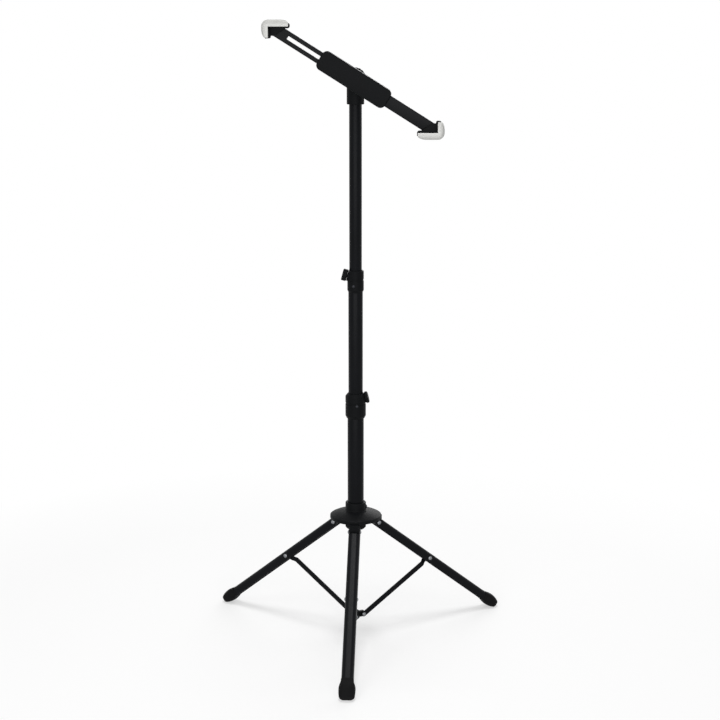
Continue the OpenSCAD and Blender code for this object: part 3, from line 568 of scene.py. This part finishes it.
def tripodHub():
    h = hubLook
    hingeZ = joints["leg_front_fold"]["pos_m"][2]
    low, high = boxOf("tripod_hub")
    sleeveZ, neckZ = low[2], high[2]
    flangeZ = hingeZ + h["under"]
    rimZ = flangeZ + h["rim"]
    ball = (h["flange"] ** 2 + h["dome"] ** 2) / (2 * h["dome"])
    x = np.linspace(h["neck"] + 2 * mm, h["flange"] - 1.2 * mm, 18)
    dome = np.stack([x, np.sqrt(ball ** 2 - x ** 2) - ball + rimZ + h["dome"]], -1)
    neckFoot = dome[0, 1]
    bore = tubeRadius("lower") + 0.05 * mm
    upper = filleted([(0, sleeveZ + h["floor"], 0), (bore, sleeveZ + h["floor"], 0), (bore, neckZ, 0.3 * mm),
                      (h["neck"], neckZ, h["neckRound"]), (h["neck"], neckFoot + 0.4 * mm, 2 * mm),
                      (dome[0, 0], neckFoot, 0)])
    lower = filleted([(h["flange"] - 1.2 * mm, dome[-1, 1], 0), (h["flange"], rimZ - 0.2 * mm, 0.7 * mm),
                      (h["flange"], flangeZ, 0.7 * mm), (h["neck"], flangeZ, 2 * mm),
                      (h["neck"], sleeveZ + h["bevel"], 0.8 * mm), (h["neck"] - h["bevel"], sleeveZ, 0.8 * mm),
                      (0, sleeveZ, 0)])
    shells = [lathe(np.concatenate([upper, dome[1:-1], lower]), mastPlace(), count=144)]
    top = h["under"] + 0.5 * mm
    tab = filleted([(-h["tongueR"], top, 0), (-h["tongueR"], -h["tongueR"], h["tongueR"] - 0.05 * mm),
                    (h["tongueR"], -h["tongueR"], h["tongueR"] - 0.05 * mm), (h["tongueR"], top, 0)], True, 16)
    rivets = []
    for name in legNames:
        hinge, outWay, tangent = legWays(name)
        side = (hinge, np.array([outWay, upWay, tangent]))
        shells.append(plate(tab, -h["tongueW"] / 2, h["tongueW"] / 2, 0.6 * mm, 0.6 * mm, side))
        inner = np.linalg.norm(hinge[:2] - (mastX, mastY)) - h["neck"] + 1 * mm
        web = filleted([(-inner, top, 0), (-inner, 1 * mm, 0), (-h["tongueR"] + 1 * mm, 1 * mm, 0),
                        (-h["tongueR"] + 1 * mm, top, 0)], True)
        shells.append(plate(web, -h["webW"] / 2, h["webW"] / 2, 0.5 * mm, 0.5 * mm, side))
        for way in (-1, 1):
            seat = hinge + way * tangent * (legLook["width"] / 2 + 0.1 * mm)
            rivets.append(domedHead(h["rivet"], h["rivetRise"], h["pin"], legLook["width"] / 2,
                                    placeAlong(seat, way * tangent)))
    piece("tripodHubShell", shells, "stand", ["tripod_hub"], "moulded_black")
    piece("legRivetHeads", rivets, "stand", ["leg_rivets"], "bright_steel", finish=zincRivet)
    screwPlace = placeAlong((mastX + h["neck"], mastY, neckZ - h["screwDown"]), (1, 0, 0))
    piece("hubScrewHead", [crossHead(h["screw"], h["screwRise"], screwPlace)], "stand", ["hub_screw"],
          "bright_steel", finish=blackRivet)


# legs: a rounded channel section carried along the leg, whose cheeks end in a round and whose crown is cut back
legLook = {"width": 18 * mm, "height": 14 * mm, "wall": 1.2 * mm, "corner": 6 * mm, "crownCut": 7 * mm,
           "inFoot": 4 * mm, "pin": 2 * mm, "shoulder": 3.4 * mm, "shoulderEnd": 7.1 * mm}
footLook = {"wide": 12.6 * mm, "thick": 9.8 * mm, "endUp": 10 * mm, "sleeve": 20 * mm, "nose": 10 * mm,
            "lip": 0.45 * mm, "flareFrom": 17.5 * mm, "belly": 5.5 * mm, "noseNarrow": 1.6 * mm, "noseThin": 0.8,
            "noseRound": 6.9 * mm, "noseFlat": 6.2 * mm, "oval": 2.5, "squareMore": 2.8, "trimSharp": 24}


def legPlace(name):
    hinge, outWay, tangent = legWays(name)
    end = np.array(mounts[f"foot_{name}_tread"]["pos_m"]) + upWay * footLook["endUp"]
    along = unit(end - hinge)
    return (hinge, np.array([along, tangent, np.cross(along, tangent)])), np.linalg.norm(end - hinge)


def channelLeg(name):
    look = legLook
    place, length = legPlace(name)
    half, tall, wall, corner = look["width"] / 2, look["height"] / 2, look["wall"], look["corner"]
    inner = filleted([(-half + wall, -tall, 0), (-half + wall, tall - wall, corner - wall),
                      (half - wall, tall - wall, corner - wall), (half - wall, -tall, 0)], steps=9)
    outer = filleted([(-half, -tall, 0), (-half, tall, corner), (half, tall, corner), (half, -tall, 0)], steps=9)
    inner, outer = refined(inner, 1.5 * mm), refined(outer, 1.5 * mm)
    count = min(len(inner), len(outer))
    share = np.linspace(0, 1, count)
    inner, outer = (np.stack([np.interp(share, np.linspace(0, 1, len(run)), run[:, k]) for k in (0, 1)], -1)
                    for run in (inner, outer))
    ring = np.concatenate([inner, outer[::-1]])
    cheek = -np.sqrt(np.maximum(tall ** 2 - ring[:, 1] ** 2, 0))
    isCrown = (abs(outer[:, 0]) < half - wall) & (outer[:, 1] > 0)
    isCrown = np.concatenate([isCrown, isCrown[::-1]])
    start = np.where(isCrown, look["crownCut"], cheek)
    t = np.linspace(0, 1, 60)[:, None] ** 1.5
    x = start + (length - look["inFoot"] - start) * t
    grid = np.stack([x, np.broadcast_to(ring[:, 0], x.shape), np.broadcast_to(ring[:, 1], x.shape)], -1)
    points, quads, ends = surface(placed(grid, place))
    k = np.arange(count - 1)
    cap = np.stack([k, k + 1, 2 * count - 2 - k, 2 * count - 1 - k], -1)
    quads = np.concatenate([quads, cap, cap + (len(t) - 1) * 2 * count])
    piece(name + "LegChannel", [(points, quads, [])], "leg_" + name, ["leg_" + name], "powder_black")
    pivot = np.array(joints[f"strut_{name}_fold"]["pos_m"])
    tangent, h = place[1][1], hubLook
    heads = [domedHead(h["rivet"], h["rivetRise"], look["pin"], half + 0.1 * mm,
                       placeAlong(pivot + way * tangent * (half + 0.1 * mm), way * tangent)) for way in (-1, 1)]
    gap = strutLook["thick"] / 2 + 0.05 * mm
    wide, end = look["shoulder"], look["shoulderEnd"]
    sleeve = filleted([(0, gap, 0), (wide, gap, 0.3 * mm), (wide, end, 0.3 * mm), (0, end, 0)])
    heads += [lathe(sleeve, placeAlong(pivot, way * tangent), count=40) for way in (-1, 1)]
    piece(name + "StrutPin", heads, "leg_" + name, ["strut_pin_" + name], "bright_steel", finish=zincRivet)


# feet: a thin sleeve flares smoothly to the belly, past it the width falls with the square of the distance and the
# thickness follows an ellipse, a rounded blunt nose trims both, and the floor flattens the underside
def rubberFoot(name):
    look = footLook
    place, length = legPlace(name)
    sleeve, nose, belly, trim = look["sleeve"], look["nose"], look["belly"], look["noseRound"]
    bend = np.linspace(0, math.pi / 2, 20)[1:]
    h = np.concatenate([[-sleeve, -sleeve, -sleeve + 0.25 * mm], np.linspace(-sleeve + 0.8 * mm, nose - trim, 48),
                        nose - trim + trim * np.sin(bend), [nose, nose, nose]])[:, None]
    turn = np.arange(120)[None, :] * 2 * math.pi / 120
    flare = np.clip((h + look["flareFrom"]) / (look["flareFrom"] - belly), 0, 1)
    flare = flare * flare * (3 - 2 * flare)
    past = np.maximum(h + belly, 0) / (nose + belly)
    mouthWide, mouthTall = (legLook[k] / 2 + look["lip"] for k in ("width", "height"))
    wide = mouthWide + (look["wide"] - mouthWide) * flare - look["noseNarrow"] * past ** 2
    tall = (mouthTall + (look["thick"] - mouthTall) * flare) * np.sqrt(1 - (look["noseThin"] * past) ** 2)
    square = look["oval"] + look["squareMore"] * (1 - flare)
    radius = (abs(np.cos(turn) / wide) ** square + abs(np.sin(turn) / tall) ** square) ** (-1 / square)
    cap = look["noseFlat"] + np.sqrt(np.maximum(trim ** 2 - np.maximum(h - nose + trim, 0) ** 2, 0))
    sharp = look["trimSharp"]
    radius = (radius ** -sharp + cap ** -sharp) ** (-1 / sharp)
    radius[:3] = radius[2:3] * np.array([[0.0], [0.94], [0.985]])
    radius[-3:] = radius[-4:-3] * np.array([[0.9], [0.5], [0.0]])
    grid = np.stack([length + h + 0 * turn, radius * np.cos(turn), radius * np.sin(turn)], -1)
    points, quads, ends = surface(placed(grid, place))
    points[:, 2] = np.maximum(points[:, 2], 0)
    piece(name + "FootRubber", [(points, quads, ends)], "leg_" + name, ["foot_" + name], "rubber_black")


# struts: a flat bar carried along a line that cranks from the channel's middle to the lug's side, with round ends
strutLook = {"width": 8 * mm, "thick": 2 * mm, "tab": 5 * mm, "crankFrom": 8 * mm, "crankRun": 8 * mm,
             "lug": 6 * mm, "gap": 0.95 * mm, "rivet": 3 * mm, "rivetRise": 1.4 * mm, "boss": 6 * mm, "lugR": 4.6 * mm,
             "bossOver": 0.8 * mm, "bossDome": 3 * mm}


def spreaderPoint(name):
    low = np.array(joints["spreader_level"]["pos_m"])
    hinge, outWay, tangent = legWays(name)
    reach = np.linalg.norm(low[:2] - (mastX, mastY))
    return np.array([mastX, mastY, low[2]]) + outWay * reach


def strut(name):
    look = strutLook
    pivot = np.array(joints[f"strut_{name}_fold"]["pos_m"])
    tangent = legWays(name)[2]
    along = unit(spreaderPoint(name) - pivot)
    length = np.linalg.norm(spreaderPoint(name) - pivot)
    place = (pivot, np.array([along, tangent, np.cross(along, tangent)]))
    offset = look["lug"] / 2 + look["gap"] + look["thick"] / 2
    half, tab = look["width"] / 2, look["tab"]
    swing = np.linspace(0, math.pi / 2, 12)
    nearly = 0.9999
    x = np.concatenate([-tab * np.cos(swing) * nearly, np.linspace(0, 24 * mm, 40)[1:],
                        np.linspace(26 * mm, length, 16), length + half * np.sin(swing[1:]) * nearly])
    tabEdge = np.sqrt(np.maximum(tab ** 2 - x ** 2, 0))
    wide = np.where(x < 0, tabEdge, np.maximum(half, tabEdge))
    wide = np.where(x > length, np.sqrt(np.maximum(half ** 2 - (x - length) ** 2, 0)), wide)
    crank = np.clip((x - look["crankFrom"]) / look["crankRun"], 0, 1)
    crank = -offset * crank * crank * (3 - 2 * crank)
    section = filleted([(-1, -1, 0.3), (1, -1, 0.3), (1, 1, 0.3), (-1, 1, 0.3)], True, 4)
    grid = np.stack([np.broadcast_to(x[:, None], (len(x), len(section))),
                     crank[:, None] + section[:, 0] * look["thick"] / 2,
                     wide[:, None] * section[:, 1]], -1)
    body = "strut_" + name
    piece(name + "StrutBar", [surface(placed(grid, place), caps=True)], body, [body], "powder_black")
    seat = spreaderPoint(name) - tangent * (offset + look["thick"] / 2)
    head = domedHead(look["rivet"], look["rivetRise"], look["rivet"] / 2, look["thick"], placeAlong(seat, -tangent))
    piece(name + "StrutEndRivet", [head], body, ["strut_end_" + name], "bright_steel", finish=zincRivet)


# spreader: a domed boss with a rounded lug and a rivet head for each strut
def spreader():
    look = strutLook
    z = spreaderPoint("front")[2]
    tall, dome = look["lugR"] + look["bossOver"], look["bossDome"]
    x = np.linspace(0, look["boss"], 10)
    ball = (look["boss"] ** 2 + dome ** 2) / (2 * dome)
    crown = np.stack([x, np.sqrt(ball ** 2 - x ** 2) - ball + dome + tall], -1)
    run = np.concatenate([crown, crown[::-1] * (1, -1)])
    shells = [lathe(run, mastPlace(z), count=64)]
    heads = []
    reach = np.linalg.norm(spreaderPoint("front")[:2] - (mastX, mastY))
    lug = filleted([(0, -look["lugR"], 0), (reach + look["lugR"], -look["lugR"], look["lugR"] - 0.02 * mm),
                    (reach + look["lugR"], look["lugR"], look["lugR"] - 0.02 * mm), (0, look["lugR"], 0)], True, 14)
    for name in legNames:
        hinge, outWay, tangent = legWays(name)
        side = (np.array([mastX, mastY, z]), np.array([outWay, upWay, tangent]))
        shells.append(plate(lug, -look["lug"] / 2, look["lug"] / 2, 0.5 * mm, 0.5 * mm, side))
        seat = spreaderPoint(name) + tangent * look["lug"] / 2
        heads.append(domedHead(look["rivet"], look["rivetRise"], look["rivet"] / 2, 1 * mm,
                               placeAlong(seat, tangent)))
    piece("spreaderShell", shells, "spreader", ["spreader"], "moulded_black")
    piece("spreaderRivetHeads", heads, "spreader", ["spreader_rivets"], "bright_steel", finish=zincRivet)


tripodHub()
for name in legNames:
    channelLeg(name)
    rubberFoot(name)
    strut(name)
spreader()
print("tripod made")


# ball head: a sleeve with a round knuckle, a cup in front of it, a fluted lock ring and the ball's stud
headLook = {"sleeve": 13 * mm, "knuckle": 13.7 * mm, "cup": 12.3 * mm, "thread": 11.3 * mm,
            "cupStep": 14.4 * mm, "cupOver": 2.2 * mm, "ball": 8.5 * mm, "gap": 0.3 * mm, "ring": 16.5 * mm,
            "ringOver": 4.5 * mm, "ringFlutes": 20, "ringDip": 0.5 * mm, "stud": 3.5 * mm, "disc": 9 * mm,
            "discThick": 2.8 * mm, "knobOut": 2 * mm, "knobThick": 6 * mm, "knobBoss": 6.2 * mm, "plate": 15 * mm,
            "plateThick": 2.5 * mm, "cupFrom": 4 * mm, "screwAt": 12 * mm,
            "screw": 2.6 * mm, "screwRise": 1.5 * mm}
ballAt = np.array(joints["ball_tilt"]["pos_m"])
ballOut = mastY - ballAt[1]
holderBack = mastY - boxOf("holder_body")[1][1]
coverBack = mastY - boxOf("holder_cover")[1][1]
holderFront = mastY - boxOf("holder_cover")[0][1]
forwardPlace = placeAlong((mastX, mastY, ballAt[2]), frontWay)


def ballHead():
    k = headLook
    headZ, boreTop = boxOf("mast_head")[0][2], boxOf("upper_tube")[1][2] + 0.1 * mm
    bore = tubeRadius("upper") + 0.05 * mm
    knuckleDrop = math.degrees(math.acos(k["sleeve"] / k["knuckle"]))
    sleeve = np.concatenate([
        filleted([(0, boreTop, 0), (bore, boreTop, 0), (bore, headZ, 0.3 * mm), (k["sleeve"], headZ, 1 * mm),
                  (k["sleeve"], ballAt[2] - k["knuckle"] * math.sin(math.radians(knuckleDrop)), 0)]),
        arc(k["knuckle"], ballAt[2], -knuckleDrop + 2, 90, 24)])
    hollow = k["ball"] + k["gap"]
    mouth = ballOut + k["cupOver"]
    cup = np.concatenate([
        filleted([(0, k["cupFrom"], 0), (k["cup"], k["cupFrom"], 0), (k["cup"], k["cupStep"], 0.5 * mm),
                  (k["thread"], k["cupStep"], 0.1 * mm),
                  (k["thread"], mouth, 0.4 * mm), (hollow, mouth, 0.3 * mm), (hollow, ballOut, 0)]),
        arc(hollow, ballOut, -2, -90, 16)])
    spec = joints["head_knob_turn"]
    seat = k["sleeve"] + k["knobOut"]
    bossR, bossFrom, bossEnd = k["knobBoss"], bore + k["gap"], seat - k["gap"]
    boss = filleted([(0, bossFrom, 0), (bossR, bossFrom, 0), (bossR, bossEnd, 0.5 * mm), (0, bossEnd, 0)])
    piece("mastHeadShell", [lathe(sleeve, mastPlace()), lathe(cup, forwardPlace),
                            lathe(boss, placeAlong(spec["pos_m"], spec["axis"]), count=64)],
          "head", ["mast_head"], "moulded_black")
    clampKnob("headKnob", "head_knob_turn", tubeRadius("upper"), seat, k["knobThick"])
    ringBack, ringFront = k["cupStep"] + k["gap"], ballOut + k["ringOver"]
    mouthAngle = math.degrees(math.asin(k["ringOver"] / hollow))
    insideAt = mouth + k["gap"]
    insideAngle = math.degrees(math.asin((insideAt - ballOut) / hollow))
    ring = np.concatenate([
        filleted([(k["thread"] + k["gap"], insideAt, 0), (k["thread"] + k["gap"], ringBack, 0.3 * mm),
                  (k["ring"], ringBack, 0.8 * mm), (k["ring"], ringFront - 1 * mm, 0.9 * mm),
                  (k["ring"] - 2 * mm, ringFront, 0.6 * mm),
                  (hollow * math.cos(math.radians(mouthAngle)), ringFront, 0)]),
        arc(hollow, ballOut, mouthAngle - 1, insideAngle, 6)])
    piece("lockRingShell", [lathe(refined(ring, 0.6 * mm, True), forwardPlace, True, 240,
                                  fluted(k["ring"], k["ringFlutes"], k["ringDip"]))],
          "lock_ring", ["lock_ring"], "moulded_black")
    neckAngle = math.degrees(math.acos(k["stud"] / k["ball"]))
    discBack = holderBack + 0.1 * mm
    discFront = discBack + k["discThick"]
    stud = np.concatenate([
        arc(k["ball"], ballOut, -90, neckAngle, 28),
        filleted([(k["stud"], ballOut + k["ball"], 0), (k["stud"], discBack, 0.3 * mm),
                  (k["disc"], discBack, 0.3 * mm), (k["disc"], discFront, 0.3 * mm), (0, discFront, 0)])])
    piece("ballStudTurned", [lathe(stud, forwardPlace)], "ball_stud", ["ball_stud"], "bright_steel")


# holder: a tray and a cover of one rounded outline along the diagonal, with two flat arms between them
holderLook = {"length": 116 * mm, "width": 30 * mm, "round": 8 * mm, "wall": 5 * mm, "channel": 18.4 * mm,
              "railIn": 0.4 * mm, "armW": 18 * mm, "armT": 5.8 * mm, "armGap": 0.1 * mm, "armEdge": 0.5 * mm,
              "fixedFrom": 37 * mm, "slideFrom": 26 * mm, "cornerBack": 9 * mm,
              "slotHalf": 2.6 * mm, "slotIn": 14.6 * mm, "slotOut": 62.6 * mm, "knobR": 8 * mm, "knobT": 7 * mm,
              "screwSide": 5 * mm}
gripLook = {"width": 249 * mm, "height": 155 * mm, "depth": 10 * mm}
outWay = -unit(joints["arm_slide"]["axis"])
holderPlace = (np.array([mastX, mastY, ballAt[2]]), np.array([outWay, np.cross(frontWay, outWay), frontWay]))
cornerAt = math.hypot(gripLook["width"], gripLook["height"]) / 2


def rearScrew(x, y, back, place):
    k = headLook
    spot = placed(np.array([x, y, back]), place)
    return crossHead(k["screw"], k["screwRise"], placeAlong(spot, -frontWay, place[1][0]))


def holder():
    h, k = holderLook, headLook
    halfL, halfW, channelHalf = h["length"] / 2, h["width"] / 2, h["channel"] / 2
    channelBack = holderBack + h["wall"]
    outline = filleted([(-halfL, -halfW, h["round"]), (halfL, -halfW, h["round"]), (halfL, halfW, h["round"]),
                        (-halfL, halfW, h["round"])], True, 12)
    turnR = h["round"]
    railUp = channelHalf + h["railIn"] - halfW + turnR
    railEnd = halfL - turnR + math.sqrt(turnR ** 2 - railUp ** 2)
    t = np.radians(np.linspace(90, math.degrees(math.asin(railUp / turnR)), 10))
    endArc = np.stack([halfL - turnR + turnR * np.cos(t), halfW - turnR + turnR * np.sin(t)], -1)
    rail = np.concatenate([[[-railEnd, channelHalf], [railEnd, channelHalf]], endArc[::-1], endArc * (-1, 1)])
    shells = [plate(outline, holderBack, channelBack, 1.4 * mm, 0.05 * mm, holderPlace)]
    shells += [plate(rail[::way] * (1, way), channelBack - 0.1 * mm, coverBack, 0.05 * mm, 0.25 * mm, holderPlace)
               for way in (1, -1)]
    piece("holderTray", shells, "holder", ["holder_body"], "moulded_black")
    piece("holderCoverShell", [plate(outline, coverBack, holderFront, 0.3 * mm, 1.4 * mm, holderPlace)], "holder",
          ["holder_cover"], "moulded_black")
    at = halfL - h["round"]
    side = (h["width"] + h["channel"]) / 4
    heads = [rearScrew(sx * at, sy * side, holderBack, holderPlace) for sx in (-1, 1) for sy in (-1, 1)]
    piece("holderScrewHeads", heads, "holder", ["holder_screws"], "bright_steel")
    hole, plateBack = k["stud"] + k["gap"], holderBack - k["plateThick"]
    ring = filleted([(hole, plateBack, 0.3 * mm), (k["plate"], plateBack, 0.7 * mm),
                     (k["plate"], holderBack, 0.2 * mm), (hole, holderBack, 0.2 * mm)], True)
    piece("swivelPlateRing", [lathe(ring, forwardPlace, True)], "holder", ["swivel_plate"], "moulded_black")
    turns = np.radians([90, 210, 330])
    heads = [rearScrew(k["screwAt"] * math.cos(t), -k["screwAt"] * math.sin(t), plateBack, holderPlace) for t in turns]
    piece("swivelScrewHeads", heads, "holder", ["swivel_screws"], "bright_steel")
    armBack = channelBack + h["armGap"]
    half, end = h["armW"] / 2, cornerAt - h["cornerBack"]

    def armOutline(start):
        tip = half - 0.02 * mm
        return filleted([(start, -half, 0.6 * mm), (end + half, -half, tip), (end + half, half, tip),
                         (start, half, 0.6 * mm)], True, 16)

    armFront, edge = armBack + h["armT"], h["armEdge"]
    piece("fixedArmBar", [plate(armOutline(h["fixedFrom"]), armBack, armFront, edge, edge, holderPlace)],
          "holder", ["fixed_arm"], "powder_black")
    backPlace = (holderPlace[0], holderPlace[1] * np.array([[-1], [-1], [1]]))
    slot, slotStart, slotEnd = h["slotHalf"], at - h["slotIn"], at + h["slotOut"]
    hole = filleted([(slotStart, -slot, 0.4 * mm), (slotEnd, -slot, 0.4 * mm), (slotEnd, slot, 0.4 * mm),
                     (slotStart, slot, 0.4 * mm)], True)
    piece("slideArmBar", [slottedPlate(armOutline(h["slideFrom"]), hole, armBack, armFront, edge, backPlace)],
          "slide_arm", ["slide_arm"], "powder_black")
    for body, place, label in (("holder", holderPlace, "lower"), ("slide_arm", backPlace, "upper")):
        heads = [rearScrew(end, way * h["screwSide"], armBack, place) for way in (-1, 1)]
        piece(label + "ClawScrewHeads", heads, body, ["claw_screws_" + label], "bright_steel")
    spec = joints["arm_knob_turn"]
    place = placeAlong(spec["pos_m"], spec["axis"])
    lift = (mastY - holderBack) - spec["pos_m"][1]
    grip = knobShell(h["knobR"], h["knobT"], knobLook["flutes"], knobLook["dip"], lift + k["gap"], place)
    depth = coverBack + 2 * mm - holderBack
    screw = screwShell(knobLook["screw"], lift - depth, lift + h["knobT"] / 2, place)
    piece("armKnobGrip", [grip, screw], "arm_knob", ["arm_knob"], "moulded_black")


# claws: a corner plate with an L-shaped upstand, and a soft pad whose section is carried round the corner
clawLook = {"bar": 5 * mm, "long": 32.5 * mm, "short": 19.2 * mm, "upstand": 2.2 * mm, "padLong": 31.3 * mm,
            "padShort": 18 * mm, "margin": 2.4 * mm, "padWall": 7.5 * mm, "lip": 2.3 * mm, "lipThick": 3 * mm,
            "corner": 2.5 * mm, "endRun": 13 * mm}


def clawPlace(upper):
    way = -1 if upper else 1
    corner = (mastX + way * gripLook["width"] / 2, mastY, ballAt[2] - way * gripLook["height"] / 2)
    return np.array(corner), np.array([[-way, 0, 0], [0, 0, way], frontWay])


def clawPad(label, body, place):
    c = clawLook
    # the line of the gripped edges: in along the short side, round the corner and out along the long side
    line = refined(filleted([(0, c["padShort"], 0), (0, 0, c["corner"]), (c["padLong"], 0, 0)], steps=12), 0.8 * mm)
    ends = np.concatenate([[0], np.cumsum(np.linalg.norm(np.diff(line, axis=0), axis=1))])
    toEnd = np.minimum(ends, ends[-1] - ends)
    rim = 0.12 * mm + np.sin(np.linspace(0, 1, 7) * math.pi / 2) ** 2 * 0.8 * mm
    extra = np.concatenate([rim, ends[(toEnd > 1 * mm)], ends[-1] - rim[::-1]])
    line = np.stack([np.interp(extra, ends, line[:, k]) for k in (0, 1)], -1)
    toEnd = np.minimum(extra, ends[-1] - extra)
    along = np.gradient(line, axis=0)
    along /= np.linalg.norm(along, axis=1, keepdims=True)
    away = np.stack([along[:, 1], -along[:, 0]], -1)
    depth, wall = gripLook["depth"], c["padWall"]
    inside = c["upstand"] + 0.05 * mm
    section = refined(filleted([(inside, 0, 0.2 * mm), (wall, 0, 1 * mm), (wall, depth + c["lipThick"], 4 * mm),
                                (-c["lip"], depth + c["lipThick"], 1.3 * mm), (-c["lip"], depth, 0.9 * mm),
                                (inside, depth + 0.02 * mm, 0.1 * mm)], True, 8), 0.8 * mm, True)
    spare = np.maximum(1 - toEnd / c["endRun"], 0)
    reach = inside + (wall - inside) * np.sqrt(1 - spare ** 2)
    out = section[None, :, 0]
    share = np.clip((out - inside) / (wall - inside), 0, 1)
    out = np.where(out > inside, inside + share * np.maximum(reach[:, None] - inside, 0.25 * mm), out)
    grid = np.stack([line[:, None, 0] + away[:, None, 0] * out, line[:, None, 1] + away[:, None, 1] * out,
                     holderFront + np.broadcast_to(section[None, :, 1], out.shape)], -1)
    shell = surface(placed(grid, place), caps=True)
    # painted shade mask for the pad: 0 at the inner face, rising to 1 at the rounded outer wall
    rimward = np.clip(np.broadcast_to(section[None, :, 0], out.shape) / wall, 0, 1)
    piece(label + "ClawPadSoft", [shell], body, ["claw_pad_" + label], "pad_grey", ("rimward", rimward))


def claw(label, body):
    c = clawLook
    place = clawPlace(label == "upper")
    b, m, long, short = c["bar"], c["margin"], c["long"], c["short"]
    corner = filleted([(-m, -m, 4 * mm), (long, -m, m), (long, b, b - 0.1 * mm), (0.8 * long, b, 5 * mm),
                       (8.8 * mm, 16.1 * mm, 3 * mm), (b, 14.8 * mm, 1.5 * mm), (b, short, b - 0.1 * mm),
                       (-m, short, m)], True, 10)
    u = c["upstand"]
    wall = filleted([(-u, -u, 2 * mm), (long, -u, 0.9 * mm), (long, 0, 0.9 * mm), (0, 0, 0.3 * mm),
                     (0, short, 0.9 * mm), (-u, short, 0.9 * mm)], True)
    shells = [plate(corner, coverBack, holderFront, 0.6 * mm, 0.6 * mm, place),
              plate(wall, holderFront - 1 * mm, holderFront + gripLook["depth"], 0.05 * mm, 0.5 * mm, place)]
    piece(label + "ClawCorner", shells, body, ["claw_base_" + label], "moulded_black")
    clawPad(label, body, place)


ballHead()
holder()
claw("lower", "holder")
claw("upper", "slide_arm")
print("ball head and holder made")


# stage: a white floor that keeps the shadow near the feet and fades into the white world
stageLook = {"half": 6.0, "fadeFrom": 0.3, "fadeTo": 1.0, "least": 0.5, "shade": 0.95}


def stageFloor():
    f = Finish("floorWhite")
    place = f.node("TexCoord", out="Object")
    x = f.node("SeparateXYZ", i0=place)
    y = f.node("SeparateXYZ", i0=place, out=1)
    away = (x * x + y * y) ** 0.5
    fade = (away - stageLook["fadeFrom"]) / (stageLook["fadeTo"] - stageLook["fadeFrom"])
    fade = fade.most(stageLook["least"]).least(1.0)
    seen = f.node("LightPath", out="Is Camera Ray").most(f.node("LightPath", out="Is Glossy Ray"))
    near = f.node("BsdfDiffuse", Color=(stageLook["shade"],) * 3)
    far = f.node("Emission", Color=(1, 1, 1), Strength=1.0)
    mixed = f.node("MixShader", i0=fade * seen, i1=near, i2=far)
    f.tree.links.new(mixed.out, f.end.inputs[0])
    half = stageLook["half"]
    mesh = bpy.data.meshes.new("stageFloor")
    mesh.from_pydata([(-half, -half, 0), (half, -half, 0), (half, half, 0), (-half, half, 0)], [], [(0, 1, 2, 3)])
    mesh.materials.append(f.mat)
    floor = bpy.data.objects.new("stageFloor", mesh)
    floor.location.z = -0.2 * mm
    scene.collection.objects.link(floor)


def worldLight(fill):
    world = bpy.data.worlds.new("studioWorld")
    world.use_nodes = True
    tree = world.node_tree
    tree.nodes.clear()
    path = tree.nodes.new("ShaderNodeLightPath")
    seen = tree.nodes.new("ShaderNodeMath")
    seen.operation = "MAXIMUM"
    seenToo = tree.nodes.new("ShaderNodeMath")
    seenToo.operation = "MAXIMUM"
    tree.links.new(path.outputs["Is Camera Ray"], seen.inputs[0])
    tree.links.new(path.outputs["Is Glossy Ray"], seen.inputs[1])
    tree.links.new(seen.outputs[0], seenToo.inputs[0])
    tree.links.new(path.outputs["Is Transmission Ray"], seenToo.inputs[1])
    sky, white = (tree.nodes.new("ShaderNodeBackground") for _ in range(2))
    sky.inputs["Color"].default_value, sky.inputs["Strength"].default_value = (1, 1, 1, 1), fill
    white.inputs["Color"].default_value, white.inputs["Strength"].default_value = (1, 1, 1, 1), 1
    mix = tree.nodes.new("ShaderNodeMixShader")
    tree.links.new(seenToo.outputs[0], mix.inputs[0])
    tree.links.new(sky.outputs[0], mix.inputs[1])
    tree.links.new(white.outputs[0], mix.inputs[2])
    out = tree.nodes.new("ShaderNodeOutputWorld")
    tree.links.new(mix.outputs[0], out.inputs[0])
    scene.world = world


lamps = {"front": {"at": (-0.1, -2.9, 0.8), "size": (3.0, 1.2), "watts": 44},
         "key": {"at": (-1.3, -1.9, 2.3), "size": (1.2, 1.2), "watts": 8},
         "top": {"at": (0, -0.1, 3.2), "size": (0.5, 1.2), "watts": 44},
         "back": {"at": (0.7, 2.7, 1.5), "size": (2.4, 1.4), "watts": 34}}


def studioLamp(name):
    spec = lamps[name]
    light = bpy.data.lights.new(name + "Lamp", "AREA")
    light.shape, light.energy = "RECTANGLE", spec["watts"]
    light.size, light.size_y = spec["size"]
    lamp = bpy.data.objects.new(name + "Lamp", light)
    lamp.location = spec["at"]
    aim = Vector((mastX, mastY, 0.45)) - lamp.location
    lamp.rotation_euler = aim.to_track_quat("-Z", "Y").to_euler()
    scene.collection.objects.link(lamp)


stageFloor()
worldLight(0.3)
for name in lamps:
    studioLamp(name)
scene.view_settings.view_transform = "Standard"
print("stage and lights set")
